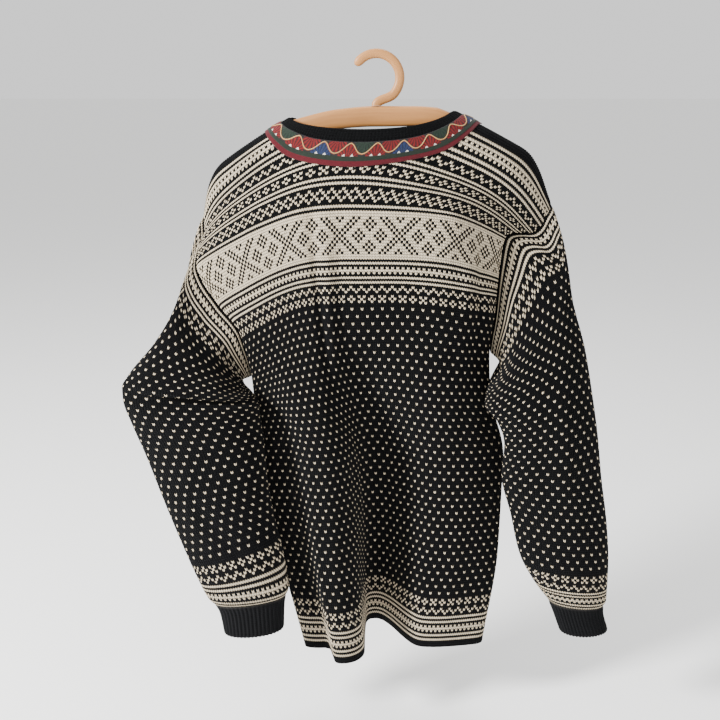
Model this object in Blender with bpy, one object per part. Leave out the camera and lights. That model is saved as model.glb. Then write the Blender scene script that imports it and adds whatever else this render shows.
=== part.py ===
"""Nordic yoke sweater hanging back to front on a plain wooden hanger.

A loose drop-shoulder pullover knitted in two colours.  The back and the front are
straight panels with a round neck cut out, the sleeves are tubes set to the panels' side
edges, and ribbed cuffs close the wrists.  The neck has a black ribbed edge, a woven
ribbon and two stripes of felt sewn round it.  The hanger is narrower than the shoulders,
so both shoulders fall past its ends and the body hangs in deep upright folds.

Metres, +Z up.  The back of the garment faces -Y.  The origin is the underside of the
hook's top, where a rail carries the hanger.

The cloth is laid out in knitting: `stitch` counts columns from the middle of a panel,
-70 at the seam on -X to +70 at the seam on +X, and `row` counts down from the shoulder
seam.  Tables give how the cloth turns and falls along chosen rows.
"""

import math

import bmesh
import bpy
import numpy as np
from mathutils import Vector
from mathutils.bvhtree import BVHTree

# ---------------------------------------------------------------- driving dimensions
STITCH = 0.00345            # width of one stitch
HALF_PANEL = 70             # stitches from the middle of a panel to its side edge
LAST_ROW = 226              # rows from the shoulder seam to the hem
ARMHOLE_ROW = 94            # row of the underarm
CLOTH = 0.0026              # wall of the stranded knitting
SEAM = 0.0003               # gap between pieces at a seam
NECK_STITCH = 24.5          # half width of the neck at the outer edge of the felt
NECK_ROW_BACK = 26.0        # depth of the neck there, in rows, at the back
NECK_ROW_FRONT = 42.0       # and at the front
TRIM_STITCHES = 7.0         # width of the whole neck trim at the shoulders
TRIM_ROWS = 12.5            # width of the whole neck trim at the middle
RIB_SHARE = 0.30            # share of that width taken by the ribbed edge
RIBBON_SHARE = 0.42         # by the woven ribbon
GREEN_SHARE = 0.12          # by the green felt, and the red felt takes the rest
NECK_RIBS = 84              # ribs round the neck
CUFF_RIBS = 40              # ribs round a cuff
RIB_HEIGHT = 0.0011         # how far a cuff rib stands out
HANGER_HALF = 0.196         # half length of the hanger's bar
HANGER_CLEAR = 0.0018       # room between the bar and the cloth's inside
HOOK_RADIUS = 0.030         # middle line of the hook
HOOK_WIDE = 0.012           # the hook's bar, across its bend
HOOK_DEEP = 0.009           # and along the rail


for item in list(bpy.data.objects):
    bpy.data.objects.remove(item)


# ---------------------------------------------------------------- small tools
def smooth(x):
    """0 to 1 with flat ends."""
    x = np.clip(x, 0.0, 1.0)
    return x * x * (3.0 - 2.0 * x)


def curve(table, column, x):
    """Read a column of a table at x with a smooth curve that never overshoots."""
    xs = np.array([line[0] for line in table], float)
    ys = np.array([line[column] for line in table], float)
    step = np.diff(xs)
    rise = np.diff(ys) / step
    slope = np.zeros(len(xs))
    same = rise[:-1] * rise[1:] > 0
    mean = (step[:-1] + step[1:]) * 3.0
    weight_a = 2.0 * step[1:] + step[:-1]
    weight_b = step[1:] + 2.0 * step[:-1]
    safe_a = np.where(same, rise[:-1], 1.0)
    safe_b = np.where(same, rise[1:], 1.0)
    slope[1:-1] = np.where(same, mean / (weight_a / safe_a + weight_b / safe_b), 0.0)
    slope[0] = rise[0]
    slope[-1] = rise[-1]
    x = np.clip(np.asarray(x, float), xs[0], xs[-1])
    i = np.clip(np.searchsorted(xs, x, side="right") - 1, 0, len(xs) - 2)
    h = step[i]
    t = (x - xs[i]) / h
    a = (1.0 + 2.0 * t) * (1.0 - t) ** 2 * ys[i]
    b = t * (1.0 - t) ** 2 * h * slope[i]
    c = t * t * (3.0 - 2.0 * t) * ys[i + 1]
    d = t * t * (t - 1.0) * h * slope[i + 1]
    return a + b + c + d


def unit(v):
    return v / np.maximum(np.linalg.norm(v, axis=-1, keepdims=True), 1e-12)


# ---------------------------------------------------------------- how the panels hang
# Directions of the cloth along one row, read from -X to +X, in degrees.
# turn: 0 runs along X, positive goes away to +Y, negative comes towards -Y.
# fall: positive drops, negative climbs.
# columns: stitch, turn, fall
BACK_SHOULDER = [
    (-70, -62, -62),
    (-60, -55, -64),
    (-50, -32, -50),
    (-42, -8, -32),
    (-22, 0, -28),
    (-11, 0, -23),
    (0, 0, 0),
    (11, 0, 16),
    (22, 0, 25),
    (42, 4, 27),
    (50, 10, 52),
    (62, 12, 66),
    (70, 12, 62),
]
BACK_NECK = [
    (-70, -62, -48),
    (-58, -46, -44),
    (-46, -26, -38),
    (-32, -12, -33),
    (-18, -14, -24),
    (0, 0, 0),
    (18, 10, 20),
    (34, 8, 27),
    (48, 22, 38),
    (60, 34, 46),
    (70, 40, 46),
]
BACK_BAND = [
    (-70, -60, -30),
    (-62, -36, -27),
    (-44, -25, -25),
    (-22, -20, -18),
    (-8, -6, -5),
    (6, 0, 0),
    (24, 4, 2),
    (38, 12, 9),
    (48, 28, 20),
    (60, 42, 22),
    (70, 52, 20),
]
BACK_CHEST = [
    (-70, -72, -20),
    (-62, -38, -21),
    (-46, -22, -21),
    (-30, -24, -16),
    (-14, -12, -5),
    (0, 2, 0),
    (14, 8, 0),
    (30, 2, 4),
    (44, 18, 10),
    (58, 38, 12),
    (70, 70, 12),
]
BACK_WAIST = [
    (-70, -78, -6),
    (-64, -25, -7),
    (-56, -8, -7),
    (-48, -40, -6),
    (-42, -34, -5),
    (-34, 2, -3),
    (-24, 34, -1),
    (-14, 66, 0),
    (-4, 62, 0),
    (6, 8, 0),
    (14, -34, 0),
    (28, -34, 1),
    (40, -4, 2),
    (52, 12, 3),
    (64, 24, 4),
    (70, 78, 4),
]
BACK_HEM = [
    (-70, -80, 0),
    (-66, -20, 0),
    (-58, -2, 0),
    (-54, -70, 0),
    (-45, -72, 0),
    (-41, -14, 0),
    (-35, 18, 0),
    (-29, 52, 0),
    (-23, 82, 0),
    (-4, 78, 0),
    (3, 10, 0),
    (9, -44, 0),
    (20, -56, 0),
    (31, -48, 0),
    (39, -4, 0),
    (52, 8, 0),
    (63, 12, 0),
    (70, 78, 0),
]
# The front has turns of its own; it falls as the back does.
# columns: stitch, turn
FRONT_CHEST = [
    (-70, 76),
    (-60, 34),
    (-44, 14),
    (-28, 10),
    (-12, 4),
    (0, 0),
    (16, -2),
    (32, -8),
    (46, -22),
    (60, -40),
    (70, -74),
]
FRONT_HEM = [
    (-70, 82),
    (-64, 66),
    (-54, 24),
    (-46, -28),
    (-38, -30),
    (-30, 30),
    (-18, 56),
    (-6, 34),
    (4, -10),
    (14, -52),
    (24, -44),
    (33, 24),
    (42, 30),
    (52, -34),
    (62, -66),
    (70, -82),
]
# columns: row, direction table
BACK_LEVELS = [
    (0, BACK_SHOULDER),
    (13, BACK_NECK),
    (46, BACK_BAND),
    (76, BACK_CHEST),
    (142, BACK_WAIST),
    (LAST_ROW, BACK_HEM),
]
# Places of the panel's two edges and of its middle column, in centimetres.
# columns: row, left x, left y, middle x, middle y, middle z, right x, right y, spread
# spread opens the cloth beside the neck, which the sloping hanger pulls apart.
BACK_PLACES = [
    (0, -22.0, 4.6, -0.8, -0.6, -4.0, 23.4, 1.2, 1.95),
    (13, -23.0, 3.0, -1.8, -5.0, -8.8, 22.4, 0.8, 1.62),
    (26, -24.0, 1.6, -3.2, -5.6, -13.2, 20.2, 0.4, 1.26),
    (40, -24.2, 0.2, -4.6, -6.2, -18.2, 17.4, 0.0, 1.0),
    (57, -21.4, -1.0, -4.7, -6.6, -24.4, 16.6, -0.6, 1.0),
    (76, -18.0, -2.4, -4.5, -6.6, -30.4, 16.2, -1.4, 1.0),
    (94, -16.9, -1.5, -4.0, -5.6, -36.6, 15.8, -0.2, 1.0),
    (112, -16.6, -1.1, -3.2, -4.0, -42.8, 16.0, -0.8, 1.0),
    (142, -16.1, -0.8, -1.8, -0.6, -53.2, 18.3, 0.2, 1.0),
    (184, -13.8, -0.8, -1.0, 2.6, -67.8, 18.1, 0.2, 1.0),
    (LAST_ROW, -10.3, -1.6, -0.8, 5.4, -83.1, 16.2, -0.2, 1.0),
]
# columns: row, middle x, middle y
FRONT_PLACES = [
    (0, -0.8, 0.6),
    (13, -1.8, 4.6),
    (40, -3.6, 6.6),
    (76, -3.0, 7.4),
    (112, -1.6, 7.6),
    (142, -0.6, 7.4),
    (184, 0.4, 8.0),
    (LAST_ROW, 0.8, 8.6),
]
GRID_STITCH = np.arange(-HALF_PANEL, HALF_PANEL + 1.0, 1.0)
GRID_ROW = np.arange(0.0, LAST_ROW + 1.0, 1.0)


def directions(levels, row):
    """Turn and fall, in radians, of every grid stitch along one row."""
    rows = [level[0] for level in levels]
    k = int(np.clip(np.searchsorted(rows, row, side="right") - 1, 0, len(rows) - 2))
    share = smooth((row - rows[k]) / (rows[k + 1] - rows[k]))
    pair = []
    for column in (1, 2):
        above = curve(levels[k][1], column, GRID_STITCH)
        below = curve(levels[k + 1][1], column, GRID_STITCH)
        pair.append(np.radians(above + (below - above) * share))
    return pair


def run(step):
    """Add the steps up outwards from the middle stitch."""
    between = (step[1:] + step[:-1]) / 2.0
    total = np.concatenate([[0.0], np.cumsum(between)])
    return total - total[HALF_PANEL]


def roll(row):
    """The cloth's roll over the top of the hanger: outwards and up, by rows down."""
    out = 0.0100 * np.sin(np.clip(row / 5.0, 0.0, 1.0) * math.pi / 2.0)
    up = 0.0085 * np.sin(np.clip(row / 3.5, 0.0, 1.0) * math.pi / 2.0)
    return out * (1.0 - smooth((row - 5.0) / 14.0)), up * (1.0 - smooth((row - 3.5) / 20.0))


def hang_back():
    """The back panel without its roll over the hanger, on the grid of rows and stitches."""
    points = np.zeros((len(GRID_ROW), len(GRID_STITCH), 3))
    left_share = np.clip(-GRID_STITCH / HALF_PANEL, 0.0, 1.0)
    right_share = np.clip(GRID_STITCH / HALF_PANEL, 0.0, 1.0)
    for i, row in enumerate(GRID_ROW):
        turn, fall = directions(BACK_LEVELS, row)
        place = [curve(BACK_PLACES, column, row) for column in range(1, 9)]
        near_neck = smooth((30.0 - np.abs(GRID_STITCH)) / 14.0)
        length = STITCH * (1.0 + (place[7] - 1.0) * near_neck)
        x = run(np.cos(turn) * np.cos(fall) * length)
        y = run(np.sin(turn) * np.cos(fall) * length)
        z = run(-np.sin(fall) * length)
        left_x, left_y, mid_x, mid_y, mid_z, right_x, right_y = [v / 100.0 for v in place[:7]]
        x = x + left_share * (left_x - mid_x - x[0]) + right_share * (right_x - mid_x - x[-1])
        y = y + left_share * (left_y - mid_y - y[0]) + right_share * (right_y - mid_y - y[-1])
        points[i, :, 0] = mid_x + x
        points[i, :, 1] = mid_y + y
        points[i, :, 2] = mid_z + z + roll(row)[1]
    return points


def roll_steps():
    """Steps square to the shoulder line by which the roll moves the back panel."""
    turn = np.radians(curve(BACK_SHOULDER, 1, GRID_STITCH))
    out = np.array([[roll(row)[0]] for row in GRID_ROW])
    return np.stack([out * np.sin(turn), -out * np.cos(turn), out * 0.0 * turn], -1)


def armhole_gape(row):
    """How far the front edge of an armhole stands from its back edge."""
    share = np.clip(row / ARMHOLE_ROW, 0.0, 1.0)
    power = np.where(share < 0.5, 1.0, 0.6)
    return 0.058 * np.sin(np.pi * share) ** power


def hang_front(plain, steps):
    """The front panel mirrors the back about the shoulders and has its own folds below."""
    points = plain - steps
    across = (GRID_STITCH + HALF_PANEL) / (2.0 * HALF_PANEL)
    bow = 1.0 - np.abs(2.0 * across - 1.0) ** 6
    left_share = np.clip(-GRID_STITCH / HALF_PANEL, 0.0, 1.0)
    right_share = np.clip(GRID_STITCH / HALF_PANEL, 0.0, 1.0)
    chest_turn = np.radians(curve(FRONT_CHEST, 1, GRID_STITCH))
    hem_turn = np.radians(curve(FRONT_HEM, 1, GRID_STITCH))
    for i, row in enumerate(GRID_ROW):
        # The two edges of the front, which meet the back's again at the underarm.
        gape = armhole_gape(row)
        left = points[i, 0] + (gape * max(0.0, 1.0 - row / ARMHOLE_ROW), gape, 0.0)
        right = points[i, -1] + (0.0, gape, 0.0)
        mid_x, mid_y = [curve(FRONT_PLACES, column, row) / 100.0 for column in (1, 2)]
        turn = chest_turn + (hem_turn - chest_turn) * smooth((row - 76.0) / (LAST_ROW - 76.0))
        x = run(np.cos(turn) * STITCH)
        y = run(np.sin(turn) * STITCH)
        x = x + left_share * (left[0] - mid_x - x[0]) + right_share * (right[0] - mid_x - x[-1])
        y = y + left_share * (left[1] - mid_y - y[0]) + right_share * (right[1] - mid_y - y[-1])
        # In the yoke the shoulder line's own shape fades into a line between the edges.
        fade = smooth(row / 40.0)
        ridge = plain[0, :, 1] - steps[i, :, 1]
        shift_left = left[1] - ridge[0]
        shift_right = right[1] - ridge[-1]
        ridge = ridge + shift_left + (shift_right - shift_left) * across
        edge = left[1] + (right[1] - left[1]) * across
        deep = 0.036 * smooth((row + 2.0) / 62.0) - 0.036 * smooth(2.0 / 62.0)
        yoke = ridge * (1.0 - fade) + edge * fade + deep * bow
        own = smooth((row - 20.0) / 70.0)
        level = smooth(row / 26.0)
        yoke_x = points[i, :, 0] + (left[0] - points[i, 0, 0]) * (1.0 - across)
        yoke_x = yoke_x * (1.0 - level) + (left[0] + (right[0] - left[0]) * across) * level
        points[i, :, 0] = yoke_x * (1.0 - own) + (mid_x + x) * own
        points[i, :, 1] = yoke * (1.0 - own) + (mid_y + y) * own
    return points


def reader(points):
    """Give a function that reads the sheet at any stitch and row."""

    def read(stitch, row):
        stitch, row = np.broadcast_arrays(np.asarray(stitch, float), np.asarray(row, float))
        u = np.clip((stitch + HALF_PANEL), 0.0, 2.0 * HALF_PANEL)
        v = np.clip(row, 0.0, LAST_ROW)
        i = np.clip(v.astype(int), 0, points.shape[0] - 2)
        j = np.clip(u.astype(int), 0, points.shape[1] - 2)
        s = (v - i)[..., None]
        t = (u - j)[..., None]
        top = points[i, j] * (1 - t) + points[i, j + 1] * t
        low = points[i + 1, j] * (1 - t) + points[i + 1, j + 1] * t
        return top * (1 - s) + low * s

    return read


plain_back = hang_back()
back_at = reader(plain_back + roll_steps())
front_at = reader(hang_front(plain_back, roll_steps()))


# ---------------------------------------------------------------- sleeves
# A sleeve leaves the armhole as the seam's own loop and soon becomes a flattened tube.
# share is the part of the way round, from the underarm over the back, at which the
# tube's outer edge lies.
# columns: along, outer x, outer y, outer z, inner x, inner y, inner z, back depth,
#          front depth, share; centimetres
LEFT_SLEEVE = [
    (0.0, -24.4, 0.4, -25.2, -16.9, -1.5, -41.6, 2.6, 7.0, 0.30),
    (6.5, -26.0, -1.6, -31.0, -18.1, -2.4, -42.0, 3.0, 6.6, 0.32),
    (13.0, -29.6, -4.4, -36.6, -17.7, -4.0, -42.6, 4.0, 5.6, 0.35),
    (18.5, -32.8, -6.0, -40.4, -16.6, -4.9, -43.2, 4.9, 4.8, 0.38),
    (20.5, -33.5, -6.6, -41.7, -16.1, -5.1, -43.7, 3.6, 4.4, 0.39),
    (22.5, -33.4, -6.8, -43.4, -15.7, -5.5, -44.2, 4.2, 4.2, 0.40),
    (26.0, -32.5, -6.8, -46.4, -15.6, -5.4, -45.9, 4.4, 4.0, 0.41),
    (31.0, -30.9, -6.6, -51.0, -15.1, -5.7, -49.6, 4.1, 3.8, 0.43),
    (37.0, -28.9, -6.4, -57.4, -14.7, -6.2, -55.0, 4.0, 3.6, 0.45),
    (43.0, -26.7, -6.0, -64.4, -13.9, -5.8, -60.8, 3.7, 3.3, 0.47),
    (48.0, -24.8, -5.6, -70.0, -12.8, -5.5, -66.6, 3.4, 3.0, 0.49),
    (51.5, -23.5, -5.2, -73.2, -12.2, -5.3, -71.8, 3.0, 2.8, 0.50),
    (52.5, -22.8, -5.1, -74.1, -12.6, -5.1, -72.8, 2.4, 2.4, 0.50),
]
RIGHT_SLEEVE = [
    (0.0, 23.4, 1.2, -20.0, 15.8, -0.8, -39.0, 3.0, 5.4, 0.50),
    (6.5, 24.9, -0.4, -25.6, 16.6, -2.4, -40.8, 3.8, 5.4, 0.49),
    (13.0, 26.3, -2.0, -31.6, 15.4, -4.2, -42.6, 4.4, 5.0, 0.48),
    (19.0, 27.8, -3.4, -37.2, 14.8, -5.6, -44.8, 4.6, 4.6, 0.48),
    (24.0, 28.7, -4.4, -42.2, 16.4, -6.2, -46.8, 4.6, 4.4, 0.48),
    (30.0, 29.8, -5.0, -48.2, 17.5, -6.2, -50.4, 4.4, 4.2, 0.48),
    (36.0, 30.8, -5.2, -54.8, 17.3, -5.8, -54.6, 4.2, 4.0, 0.49),
    (43.0, 32.0, -5.2, -61.6, 18.8, -5.4, -60.6, 4.0, 3.8, 0.49),
    (49.0, 32.7, -5.0, -67.8, 20.3, -5.2, -66.6, 3.6, 3.4, 0.50),
    (53.0, 32.8, -5.0, -71.6, 22.4, -5.0, -70.6, 3.1, 2.9, 0.50),
    (56.0, 32.8, -5.0, -73.6, 24.0, -5.0, -72.8, 2.8, 2.7, 0.50),
    (57.0, 32.4, -5.0, -74.4, 24.7, -5.0, -73.7, 2.4, 2.4, 0.50),
]
SLEEVE_SETTLES = 13.0            # distance over which the loop becomes the plain tube
# Way the cloth leaves the armhole, as shares of the distance along.
# columns: share of the way round, x, y, z
LEFT_LEAVES = [
    (0.0, -0.20, -0.14, -0.06),
    (0.15, -0.60, -0.25, -0.40),
    (0.30, -0.45, -0.20, -0.80),
    (0.50, -0.55, 0.05, -0.78),
    (0.75, -0.72, 0.25, -0.50),
    (1.0, -0.20, -0.14, -0.06),
]
RIGHT_LEAVES = [
    (0.0, 0.28, -0.18, -0.14),
    (0.15, 0.45, -0.45, -0.25),
    (0.30, 0.80, -0.25, -0.40),
    (0.50, 0.40, 0.05, -0.90),
    (0.75, 0.75, 0.30, -0.45),
    (1.0, 0.28, -0.18, -0.14),
]
# Cuffs: a ribbed tube drawn in at the wrist.
# columns: along, outer x, outer y, outer z, inner x, inner y, inner z, depth
LEFT_CUFF = [
    (0.0, -22.8, -5.1, -74.1, -12.6, -5.1, -72.8, 2.4),
    (1.2, -22.1, -5.1, -75.1, -12.9, -5.1, -74.0, 2.3),
    (5.4, -21.4, -5.1, -78.8, -13.1, -5.1, -78.0, 2.5),
]
RIGHT_CUFF = [
    (0.0, 32.4, -5.0, -74.4, 24.7, -5.0, -73.7, 2.4),
    (1.2, 32.4, -5.0, -75.2, 25.2, -5.0, -74.8, 2.3),
    (5.4, 33.2, -5.0, -78.3, 26.6, -5.0, -78.5, 2.5),
]


def armhole(side, u):
    """The armhole's edge, from the underarm over the back to the shoulder and round."""
    row = ARMHOLE_ROW * np.abs(1.0 - 2.0 * u)
    edge = np.where(u <= 0.5, -1.0, 1.0)[..., None]
    back = back_at(side * HALF_PANEL, row)
    front = front_at(side * HALF_PANEL, row)
    return np.where(edge < 0, back, front)


def tube(table, u, along):
    """A flattened tube: half an oval over the back, half an oval over the front."""
    value = [curve(table, column, along) for column in range(1, len(table[0]))]
    outer = np.stack(value[0:3], -1) / 100.0
    inner = np.stack(value[3:6], -1) / 100.0
    back = value[6] / 100.0
    front = (value[7] if len(value) > 7 else value[6]) / 100.0
    share = value[8] if len(value) > 8 else np.full_like(value[6], 0.5)
    middle = (outer + inner) / 2.0
    reach = (outer - inner) / 2.0
    wide = np.linalg.norm(reach, axis=-1)
    over = u <= share
    part = np.where(over, u / share, (u - share) / (1.0 - share))
    deep = np.where(over, back, front)
    # Even steps of arc along each half oval.
    angle = np.linspace(0.0, math.pi, 61)
    across = -np.cos(angle)
    bulge = np.sin(angle) ** 0.85
    px = across[None, :] * wide.reshape(-1, 1)
    py = bulge[None, :] * deep.reshape(-1, 1)
    arc = np.concatenate(
        [np.zeros((px.shape[0], 1)), np.cumsum(np.hypot(np.diff(px), np.diff(py)), axis=1)],
        axis=1,
    )
    arc = arc / arc[:, -1:]
    flat = part.reshape(-1)
    a = np.array([np.interp(flat[k], arc[k], across) for k in range(len(flat))])
    b = np.array([np.interp(flat[k], arc[k], bulge) for k in range(len(flat))])
    a = a.reshape(part.shape)
    b = b.reshape(part.shape)
    a = np.where(over, a, -a)
    normal = unit(np.cross(reach, np.broadcast_to((0.0, 1.0, 0.0), reach.shape)))
    depth = unit(np.cross(reach, normal))
    depth = depth * np.where(depth[..., 1:2] > 0, -1.0, 1.0)
    sign = np.where(over, 1.0, -1.0)
    return middle + reach * a[..., None] + depth * (b * deep * sign)[..., None]


def sleeve(side, table, leaves, u, along):
    """Points of a sleeve's outer face; u runs round from the underarm, 0 to 1."""
    u, along = np.broadcast_arrays(np.asarray(u, float), np.asarray(along, float))
    way = np.stack([curve(leaves, column, u) for column in (1, 2, 3)], -1)
    start = armhole(side, u) + way * (along / 100.0)[..., None]
    body = tube(table, u, along)
    share = smooth(along / SLEEVE_SETTLES)[..., None]
    return start * (1.0 - share) + body * share


# ---------------------------------------------------------------- walls
SIDE_LANES = 11                  # panel columns from each side edge to the neck
NECK_TURNS = [0.0, 4.0, 9.0, 16.0, 27.0, 41.0, 57.0, 73.5]   # degrees round from a shoulder
LANE_SPREAD = 34.0               # the neck's columns fan out to this stitch by the underarm
BACK_ROWS = [0, 1.5, 3.5, 6.5, 11, 17, 25, 34, 44, 55, 67, 78, 87, ARMHOLE_ROW]
FRONT_ROWS = [0, 1.5, 3.5, 6.5, 10.5, 16, 25, 38, 52, 66, 78, 87, ARMHOLE_ROW]
LOWER_ROWS = [106, 118, 130, 142, 155, 168, 181, 194, 206, 216, LAST_ROW]
CUT_STITCH = NECK_STITCH - (1.0 - RIB_SHARE) * TRIM_STITCHES
HALF_GAP = SEAM / 2.0 / STITCH   # half a seam gap, in stitches or rows
# Along the armhole from the underarm, corner by corner: how far the walls' inside turns
# up the middle of the armhole's point, and the depth it is held to.
UNDERARM_TURN = [1.0, 0.3, 0.0]
UNDERARM_DEPTH = [0.0055, 0.0032, 0.0038]
LEAST_LEAN = 0.55                # a wall's step inward is never longer than CLOTH over this
NECK_RIB_HEIGHT = 0.0007         # how far a rib of the neck stands out


def neck_ring(angle, share):
    """Points round the neck; share 0 is the felt's outer edge and 1 the rib's top."""
    angle, share = np.broadcast_arrays(np.asarray(angle, float), np.asarray(share, float))
    stitch = (NECK_STITCH - share * TRIM_STITCHES) * np.sin(angle)
    back_row = (NECK_ROW_BACK - share * TRIM_ROWS) * np.cos(angle)
    front_row = -(NECK_ROW_FRONT - share * TRIM_ROWS) * np.cos(angle)
    over_back = np.cos(angle) >= 0.0
    back = back_at(stitch, np.maximum(back_row, 0.0))
    front = front_at(stitch, np.maximum(front_row, 0.0))
    return np.where(over_back[..., None], back, front)


def neck_normal(angle, share):
    """Outward direction of the ring."""
    round_it = neck_ring(angle + 0.04, share) - neck_ring(angle - 0.04, share)
    inwards = neck_ring(angle, share + 0.06) - neck_ring(angle, share - 0.06)
    return unit(np.cross(round_it, inwards))


half_turn = np.radians(np.array(NECK_TURNS) - 90.0)
neck_angle = np.concatenate([half_turn, [0.0], -half_turn[::-1]])
neck_start = SIDE_LANES
neck_end = SIDE_LANES + len(neck_angle) - 1
cut_share = 1.0 - RIB_SHARE


def lanes(neck_stitches, corner):
    """Stitches of the panels' columns, for a neck between -corner and corner."""
    left = np.linspace(-HALF_PANEL, -corner, SIDE_LANES + 1)[:-1]
    right = np.linspace(corner, HALF_PANEL, SIDE_LANES + 1)[1:]
    return np.concatenate([left, neck_stitches, right])


def panel_grid(rows, neck_row):
    """Stitch and row of each corner: the top row follows the shoulders and the neck."""
    at_top = lanes(CUT_STITCH * np.sin(neck_angle), CUT_STITCH)
    at_underarm = lanes(np.linspace(-LANE_SPREAD, LANE_SPREAD, len(neck_angle)), LANE_SPREAD)
    cut = (neck_row - cut_share * TRIM_ROWS) * np.cos(neck_angle)
    top = lanes(cut, 0.0)
    top[:neck_start] = 0.0
    top[neck_end + 1:] = 0.0
    drop = np.array(rows, float)[:, None]
    fan = np.clip(drop / ARMHOLE_ROW, 0.0, 1.0) ** 0.4
    stitch = at_top + (at_underarm - at_top) * fan
    row = np.where(drop < ARMHOLE_ROW, top + drop * (1.0 - top / ARMHOLE_ROW), drop + 0.0 * top)
    stitch = np.clip(stitch, -HALF_PANEL + HALF_GAP, HALF_PANEL - HALF_GAP)
    return stitch, np.maximum(row, HALF_GAP)


def sheet_normal(at, stitch, row, outward_y):
    """Unit normals of a hanging panel, on the side that outward_y names."""
    along = at(stitch + 2.0, row) - at(stitch - 2.0, row)
    down = at(stitch, row + 1.0) - at(stitch, row - 1.0)
    return unit(np.cross(along, down)) * outward_y


def wall_object(name, outer, inner, closed, colour, roughness=0.92, turns_at=10**6):
    """Build a wall between two grids of points; closed joins the last column to the first.

    The first row's edge faces are cut along the same diagonals as the piece beside them,
    which run the other way from column turns_at on.
    """
    rows, lanes_in = outer.shape[:2]
    count = rows * lanes_in
    points = np.concatenate([outer.reshape(-1, 3), inner.reshape(-1, 3)])
    faces = []
    spans = lanes_in if closed else lanes_in - 1
    for i in range(rows - 1):
        for j in range(spans):
            a = i * lanes_in + j
            b = i * lanes_in + (j + 1) % lanes_in
            c = b + lanes_in
            d = a + lanes_in
            faces += [(a, b, c), (a, c, d)]
            faces += [(count + c, count + b, count + a), (count + d, count + c, count + a)]
    for j in range(spans):
        a = j
        b = (j + 1) % lanes_in
        if j < turns_at:
            faces += [(b, a, count + b), (a, count + a, count + b)]
        else:
            faces += [(b, a, count + a), (b, count + a, count + b)]
        a += (rows - 1) * lanes_in
        b += (rows - 1) * lanes_in
        faces.append((a, b, count + b, count + a))
    if not closed:
        for i in range(rows - 1):
            a = i * lanes_in
            d = a + lanes_in
            faces += [(a, d, count + a), (d, count + d, count + a)]
            a = i * lanes_in + lanes_in - 1
            d = a + lanes_in
            faces += [(d, a, count + a), (d, count + a, count + d)]
    mesh = bpy.data.meshes.new(name)
    mesh.from_pydata([tuple(p) for p in points], [], faces)
    mesh.update()
    return finish(name, mesh, colour, roughness)


def finish(name, mesh, colour, roughness):
    """Point the faces out, add the object and give it its own material."""
    work = bmesh.new()
    work.from_mesh(mesh)
    bmesh.ops.recalc_face_normals(work, faces=work.faces)
    work.to_mesh(mesh)
    work.free()
    item = bpy.data.objects.new(name, mesh)
    bpy.context.scene.collection.objects.link(item)
    mesh.shade_smooth()
    mesh.set_sharp_from_angle(angle=math.radians(40))
    material = bpy.data.materials.new(name)
    material.use_nodes = True
    shader = material.node_tree.nodes["Principled BSDF"]
    shader.inputs["Base Color"].default_value = (*colour, 1.0)
    shader.inputs["Roughness"].default_value = roughness
    shader.inputs["Metallic"].default_value = 0.0
    mesh.materials.append(material)
    return item


# ---------------------------------------------------------------- back and front
back_stitch, back_row = panel_grid(BACK_ROWS + LOWER_ROWS, NECK_ROW_BACK)
front_stitch, front_row = panel_grid(FRONT_ROWS + LOWER_ROWS, NECK_ROW_FRONT)
back_outer = back_at(back_stitch, back_row)
front_outer = front_at(front_stitch, front_row)
back_normal = sheet_normal(back_at, back_stitch, back_row, -1.0)
front_normal = sheet_normal(front_at, front_stitch, front_row, 1.0)

# The shoulder seams and the side seams share one inward direction.
ridge = unit(back_normal[0] + front_normal[0])
back_inward = -back_normal
front_inward = -front_normal
for j in range(back_outer.shape[1]):
    if j <= neck_start or j >= neck_end:
        back_inward[0, j] = -ridge[j]
        front_inward[0, j] = -ridge[j]
for k, angle in enumerate(neck_angle):
    back_inward[0, neck_start + k] = -neck_normal(angle, cut_share)
    front_inward[0, neck_start + k] = -neck_normal(math.pi - angle, cut_share)
under_back = len(BACK_ROWS) - 1
under_front = len(FRONT_ROWS) - 1
for k in range(len(LOWER_ROWS) + 1):
    for j in (0, -1):
        shared = unit(back_normal[under_back + k, j] + front_normal[under_front + k, j])
        back_inward[under_back + k, j] = -shared
        front_inward[under_front + k, j] = -shared


def depth_of(outer, inward, closed):
    """Length of each inward step that keeps the wall's thickness beside every face."""
    grid = np.concatenate([outer, outer[:, :1]], axis=1) if closed else outer
    facing = unit(np.cross(grid[1:, 1:] - grid[:-1, :-1], grid[1:, :-1] - grid[:-1, 1:]))
    rows, columns = outer.shape[:2]
    lean = np.ones((rows, columns))
    middle = np.sum(facing * -inward[:-1, : facing.shape[1]], axis=-1)
    facing = facing * np.sign(np.median(middle))
    for i in range(rows):
        for j in range(columns):
            for m in (i - 1, i):
                for n in (j - 1, j):
                    if not 0 <= m < rows - 1:
                        continue
                    if not closed and not 0 <= n < columns - 1:
                        continue
                    face = facing[m, n % facing.shape[1]]
                    lean[i, j] = min(lean[i, j], -float(face @ inward[i, j]))
    return CLOTH / np.clip(lean, LEAST_LEAN, 1.0)


# ---------------------------------------------------------------- sleeves set in
# Distances along each sleeve of its rings of corners, in centimetres.
LEFT_RINGS = [0.0, 3.2, 6.5, 10.0, 14.0, 18.5, 20.5, 22.5, 25.5, 29.5, 34.0, 38.5]
LEFT_RINGS += [43.0, 47.5, 51.1]
RIGHT_RINGS = [0.0, 3.0, 6.5, 10.0, 13.5, 17.0, 20.5, 24.0, 28.0, 32.0, 36.0, 40.5]
RIGHT_RINGS += [45.0, 49.5, 53.0, 55.6]


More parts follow.
